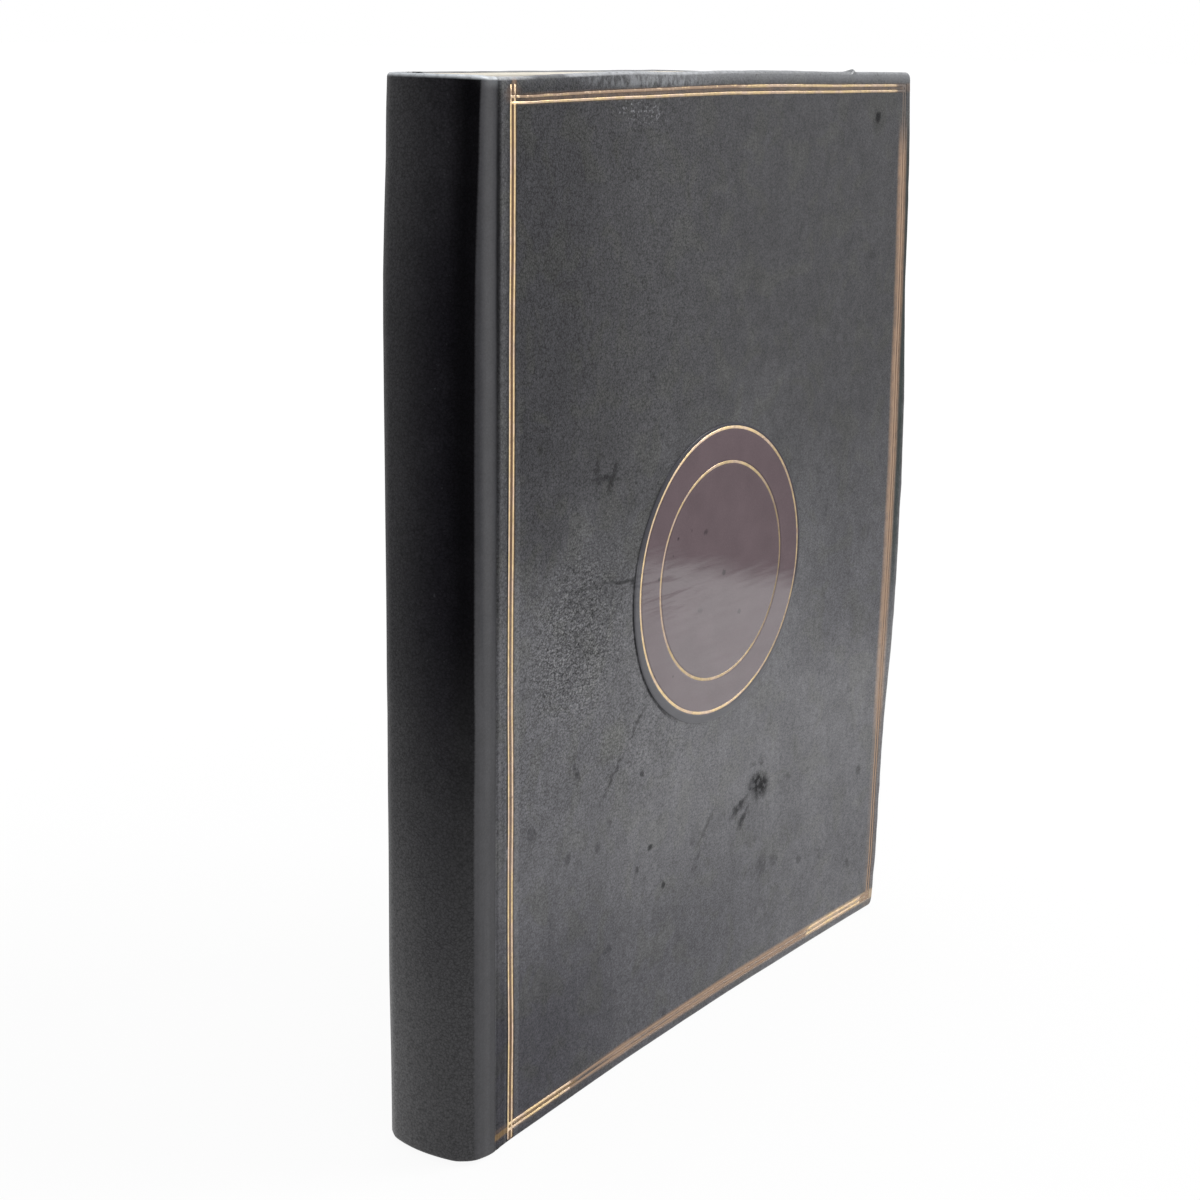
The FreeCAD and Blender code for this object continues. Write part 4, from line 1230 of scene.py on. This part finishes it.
class MakeLeaves(bpy.types.Operator):
    """Vellum leaves, folded in pairs and nested in gatherings"""
    bl_idname = "notebook.leaves"
    bl_label = "Leaves"

    def execute(self, context):
        sizes, colours = chosen(context)
        front, back = sides(sizes)
        pairs, folded = [], sizes.folded
        total = 2 * folded * sizes.gatherings
        for gathering in range(sizes.gatherings):
            for nest in range(folded):
                first = 2 * folded * gathering + nest
                last = 2 * folded * (gathering + 1) - 1 - nest
                pairs.append(self.pair(front, back, sizes, first, last, total, nest))
        piece = join("leaves", pairs)
        settle(piece, vellum_finish(colours), smooth=50)
        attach(piece, "book_block")
        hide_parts("text_block")
        return {"FINISHED"}

    def pair(self, front, back, sizes, first, last, total, nest):
        """One folded pair: a flat sheet, folded round its own radius at the spine."""
        jitter = abs(noise.noise((first * 1.7, 0.5, nest * 2.3)))
        low, high = LEAVES_LOW.z + 0.2 * jitter, LEAVES_HIGH.z - 0.25 * jitter
        piece = add_sheet("pair", 60, 5, (0, low), (1, high))
        leaf = LeafRun(front, back, total)
        fold_x = leaf.fold_x((first + last) / 2) + nest * 0.24
        middle = (leaf.y(first, fold_x) + leaf.y(last, fold_x)) / 2
        radius = abs(leaf.y(last, fold_x) - leaf.y(first, fold_x)) / 2
        start = fold_x + radius
        flat = 0.44     # each half's share of the sheet, with the rest in the fold

        def bend(co):
            wave = 0.1 * noise.noise((co.y / 45, first / 20, 0.0))
            for number, share in ((first, co.x / flat), (last, (1 - co.x) / flat)):
                if share <= 1:
                    x = leaf.fore_x(number) + (start - leaf.fore_x(number)) * share
                    return Vector((x, leaf.y(number, x, co.y) + wave * ease(start, start + 30, x),
                                   trimmed(x, co.y)))
            turn = math.pi * (co.x - flat) / (1 - 2 * flat)
            return Vector((start - math.sin(turn) * radius, middle - math.cos(turn) * radius, co.y))

        shape(piece, bend)
        thicken(piece, sizes.leaf / MM, offset=0)
        return piece


def trimmed(x, z):
    """A leaf's height at z when its head falls as the back cover's head edge does."""
    return z + (along(HEAD_EDGES["back"], x) + 0.1) * z / HEIGHT


class LeafRun:
    """Where each leaf runs, from the folds at the spine to the hollow fore edge."""

    def __init__(self, front, back, total):
        self.front, self.back, self.total = front, back, total
        self.shoulder = LEAVES_HIGH.y

    def y(self, number, x, z=0.0):
        """Where a leaf lies between the covers, spread wider over the shoulders at the joints."""
        swell = 1 - ease(HINGE_X - 4.4, HINGE_X - 1.1, x)
        faces = [side.outward * (FLANK_Y - side.sunk(max(x, HINGE_X), z) - LEAVES_DEPTH)
                 for side in (self.front, self.back)]
        faces = [face + (side.outward * self.shoulder - face) * swell
                 for face, side in zip(faces, (self.front, self.back))]
        share = (number + 0.5) / self.total
        return faces[0] + (faces[1] - faces[0]) * share

    def fold_x(self, number):
        """Where a leaf's fold lies on the round of the backs."""
        off = (number / (self.total - 1) * 2 - 1) * self.shoulder
        return LEAVES_LOW.x + 0.25 + LEAVES_ROUND - math.sqrt(LEAVES_ROUND ** 2 - off ** 2)

    def fore_x(self, number):
        """A leaf's fore edge: the hollow of a rounded block, cut a little unevenly."""
        off = (number + 0.5) / self.total * 2 - 1
        return LEAVES_HIGH.x - 0.6 * (1 - off ** 2) - 0.25 * abs(noise.noise((number * 0.9, 3.3, 0.0)))


class MakeEndpapers(bpy.types.Operator):
    """Endpapers: one half pasted to each cover and folded in the joint, the other half free"""
    bl_idname = "notebook.endpapers"
    bl_label = "Endpapers"

    def execute(self, context):
        sizes, colours = chosen(context)
        vellum = vellum_finish(colours)
        for side in sides(sizes):
            pasted = self.pasted(side)
            settle(pasted, vellum, smooth=50)
            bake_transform(pasted)
            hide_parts(side.name + "_pastedown", side.name + "_endpaper_joint")
            free = self.free(side)
            settle(free, vellum, smooth=50)
            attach(free, "book_block")
            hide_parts(side.name + "_flyleaf")
        return {"FINISHED"}

    def pasted(self, side):
        """A sheet laid along the board's inside, round its edge and up through the joint."""
        piece = add_sheet(side.name + "_endpaper", 90, 10, (0, PASTE_LOW.z), (1, PASTE_HIGH.z))
        outer = 1.0
        corners = [(PASTE_HIGH.x, PASTE_DEPTH), (PASTE_X, PASTE_DEPTH), (PASTE_X, outer), (FLY_X, outer),
                   (FLY_X, FLY_DEPTH)]
        shares = (0.0, 0.6, 0.75, 0.83, 1.0)

        def run(co):
            for (s0, s1), (a, b) in zip(zip(shares, shares[1:]), zip(corners, corners[1:])):
                if co.x <= s1 + 1e-6:
                    share = (co.x - s0) / (s1 - s0)
                    x, depth = a[0] + (b[0] - a[0]) * share, a[1] + (b[1] - a[1]) * share
                    break
            sunk = side.sunk(max(x, PASTE_X), co.y)
            return Vector((x, side.outward * (FLANK_Y - sunk - depth), co.y))

        shape(piece, run)
        thicken(piece, ENDPAPER, offset=0)
        return piece

    def free(self, side):
        """The half that lies free on the leaves."""
        piece = add_sheet(side.name + "_free_endpaper", 50, 8, (FLY_X, FLY_LOW.z), (FLY_HIGH.x, FLY_HIGH.z))
        shape(piece, lambda co: Vector((co.x, side.outward * (
            FLANK_Y - side.sunk(max(co.x, HINGE_X), co.y) - FLY_DEPTH), trimmed(co.x, co.y))))
        thicken(piece, ENDPAPER, offset=0)
        return piece


class FinishInside(bpy.types.Operator):
    """Finishes for the mull and tapes"""
    bl_idname = "notebook.inside"
    bl_label = "Inside"

    def execute(self, context):
        colours = chosen(context)[1]
        finishes = {"mull": weave_finish(colours, "mull", 1.4, 0.35)}
        tape = weave_finish(colours, "linen tape", 0.7, 0.15)
        for place in ("tail", "middle", "head"):
            finishes["sewing_tape_" + place] = tape
        for name, finish in finishes.items():
            node = frame["nodes"][name]
            node.data.materials.clear()
            node.data.materials.append(finish)
        return {"FINISHED"}


class MakeStage(bpy.types.Operator):
    """Pale floor, soft lamps, plain surroundings and the camera"""
    bl_idname = "notebook.stage"
    bl_label = "Stage"

    def execute(self, context):
        self.floor()
        self.surroundings(context.scene)
        for name, place, size, power in LAMPS:
            self.lamp(name, Vector(place), size, power)
        self.camera(context.scene)
        context.scene.view_settings.view_transform = "Standard"
        return {"FINISHED"}

    def floor(self):
        """A floor level with the covers' tails, white to the eye, with a faint shadow near the book."""
        start_clean()
        bpy.ops.mesh.primitive_plane_add(size=40, location=(0, 0, -TAIL_DROP * MM))
        floor = bpy.context.object
        floor.name = "floor"
        bpy.ops.object.transform_apply(location=True)
        finish = Finish("floor", {"Roughness": 0.9, "Specular IOR Level": 0.1})
        away = finish.node("ShaderNodeVectorMath", {"operation": "LENGTH"}, {0: finish.mm}, out="Value")
        glow = finish.seen() * (finish.ramp(away, 130.0, 420.0) * 0.07 + 0.93)
        finish.set("Base Color", finish.mix(glow, (0.82, 0.82, 0.82), BLACK))
        finish.set("Emission Color", finish.mix(glow, BLACK, WHITE))
        finish.shader.inputs["Emission Strength"].default_value = 1.0
        floor.data.materials.append(finish.material)

    def surroundings(self, scene):
        """An even white world, seen brighter than it lights."""
        world = scene.world or bpy.data.worlds.new("plain")
        scene.world = world
        world.use_nodes = True
        nodes = Nodes(world.node_tree)
        nodes.tree.nodes.clear()
        plain, bright = (nodes.node("ShaderNodeBackground", {}, {"Color": (*WHITE, 1.0), "Strength": strength})
                         for strength in (0.3, 1.0))
        mixed = nodes.node("ShaderNodeMixShader", {}, {0: nodes.seen(), 1: plain, 2: bright})
        nodes.node("ShaderNodeOutputWorld", {}, {"Surface": mixed}, out=None)

    def lamp(self, name, place, size, power):
        """A square lamp aimed at the book's middle."""
        start_clean()
        bpy.ops.object.light_add(type="AREA", location=place)
        lamp = bpy.context.object
        lamp.name = name
        lamp.data.shape = "SQUARE"
        lamp.data.size = size
        lamp.data.energy = power
        aim = Vector((0, 0, 0.1)) - place
        lamp.rotation_euler = aim.to_track_quat("-Z", "Y").to_euler()

    def camera(self, scene):
        """The camera, looking a little down on the near corner."""
        start_clean()
        bpy.ops.object.camera_add(location=CAMERA_AT)
        camera = bpy.context.object
        camera.name = "camera"
        yaw, pitch, roll = (math.radians(angle) for angle in (CAMERA_YAW, CAMERA_PITCH, CAMERA_ROLL))
        ahead = Vector((math.cos(pitch) * math.cos(yaw), math.cos(pitch) * math.sin(yaw), -math.sin(pitch)))
        across = Vector((math.sin(yaw), -math.cos(yaw), 0))
        above = across.cross(ahead)
        right = across * math.cos(roll) + above * math.sin(roll)
        up = above * math.cos(roll) - across * math.sin(roll)
        camera.rotation_euler = Matrix((right, up, -ahead)).transposed().to_euler()
        camera.data.sensor_width = 36.0
        camera.data.lens = CAMERA_LENS
        camera.data.clip_start = 0.01
        scene.camera = camera


class NotebookPanel(bpy.types.Panel):
    """The notebook's pieces, sizes and colours"""
    bl_idname = "VIEW3D_PT_notebook"
    bl_label = "Notebook"
    bl_space_type = "VIEW_3D"
    bl_region_type = "UI"
    bl_category = "Notebook"

    def draw(self, context):
        layout = self.layout
        for maker in MAKERS:
            layout.operator(maker.bl_idname)
        for group in chosen(context):
            box = layout.box()
            for name in group.__annotations__:
                box.prop(group, name)


MAKERS = (MakeCovers, MakeBoards, MakeSpine, MakeOnlay, MakeGilding, MakeLeaves, MakeEndpapers, FinishInside, MakeStage)
CLASSES = (NotebookSizes, NotebookColours, *MAKERS, NotebookPanel)


def register():
    for kind in CLASSES:
        bpy.utils.register_class(kind)
    bpy.types.Scene.notebook_sizes = bpy.props.PointerProperty(type=NotebookSizes)
    bpy.types.Scene.notebook_colours = bpy.props.PointerProperty(type=NotebookColours)


def unregister():
    del bpy.types.Scene.notebook_sizes
    del bpy.types.Scene.notebook_colours
    for kind in reversed(CLASSES):
        bpy.utils.unregister_class(kind)


def main():
    register()
    for maker in MAKERS:
        group, name = maker.bl_idname.split(".")
        getattr(getattr(bpy.ops, group), name)()


if __name__ == "__main__":
    main()
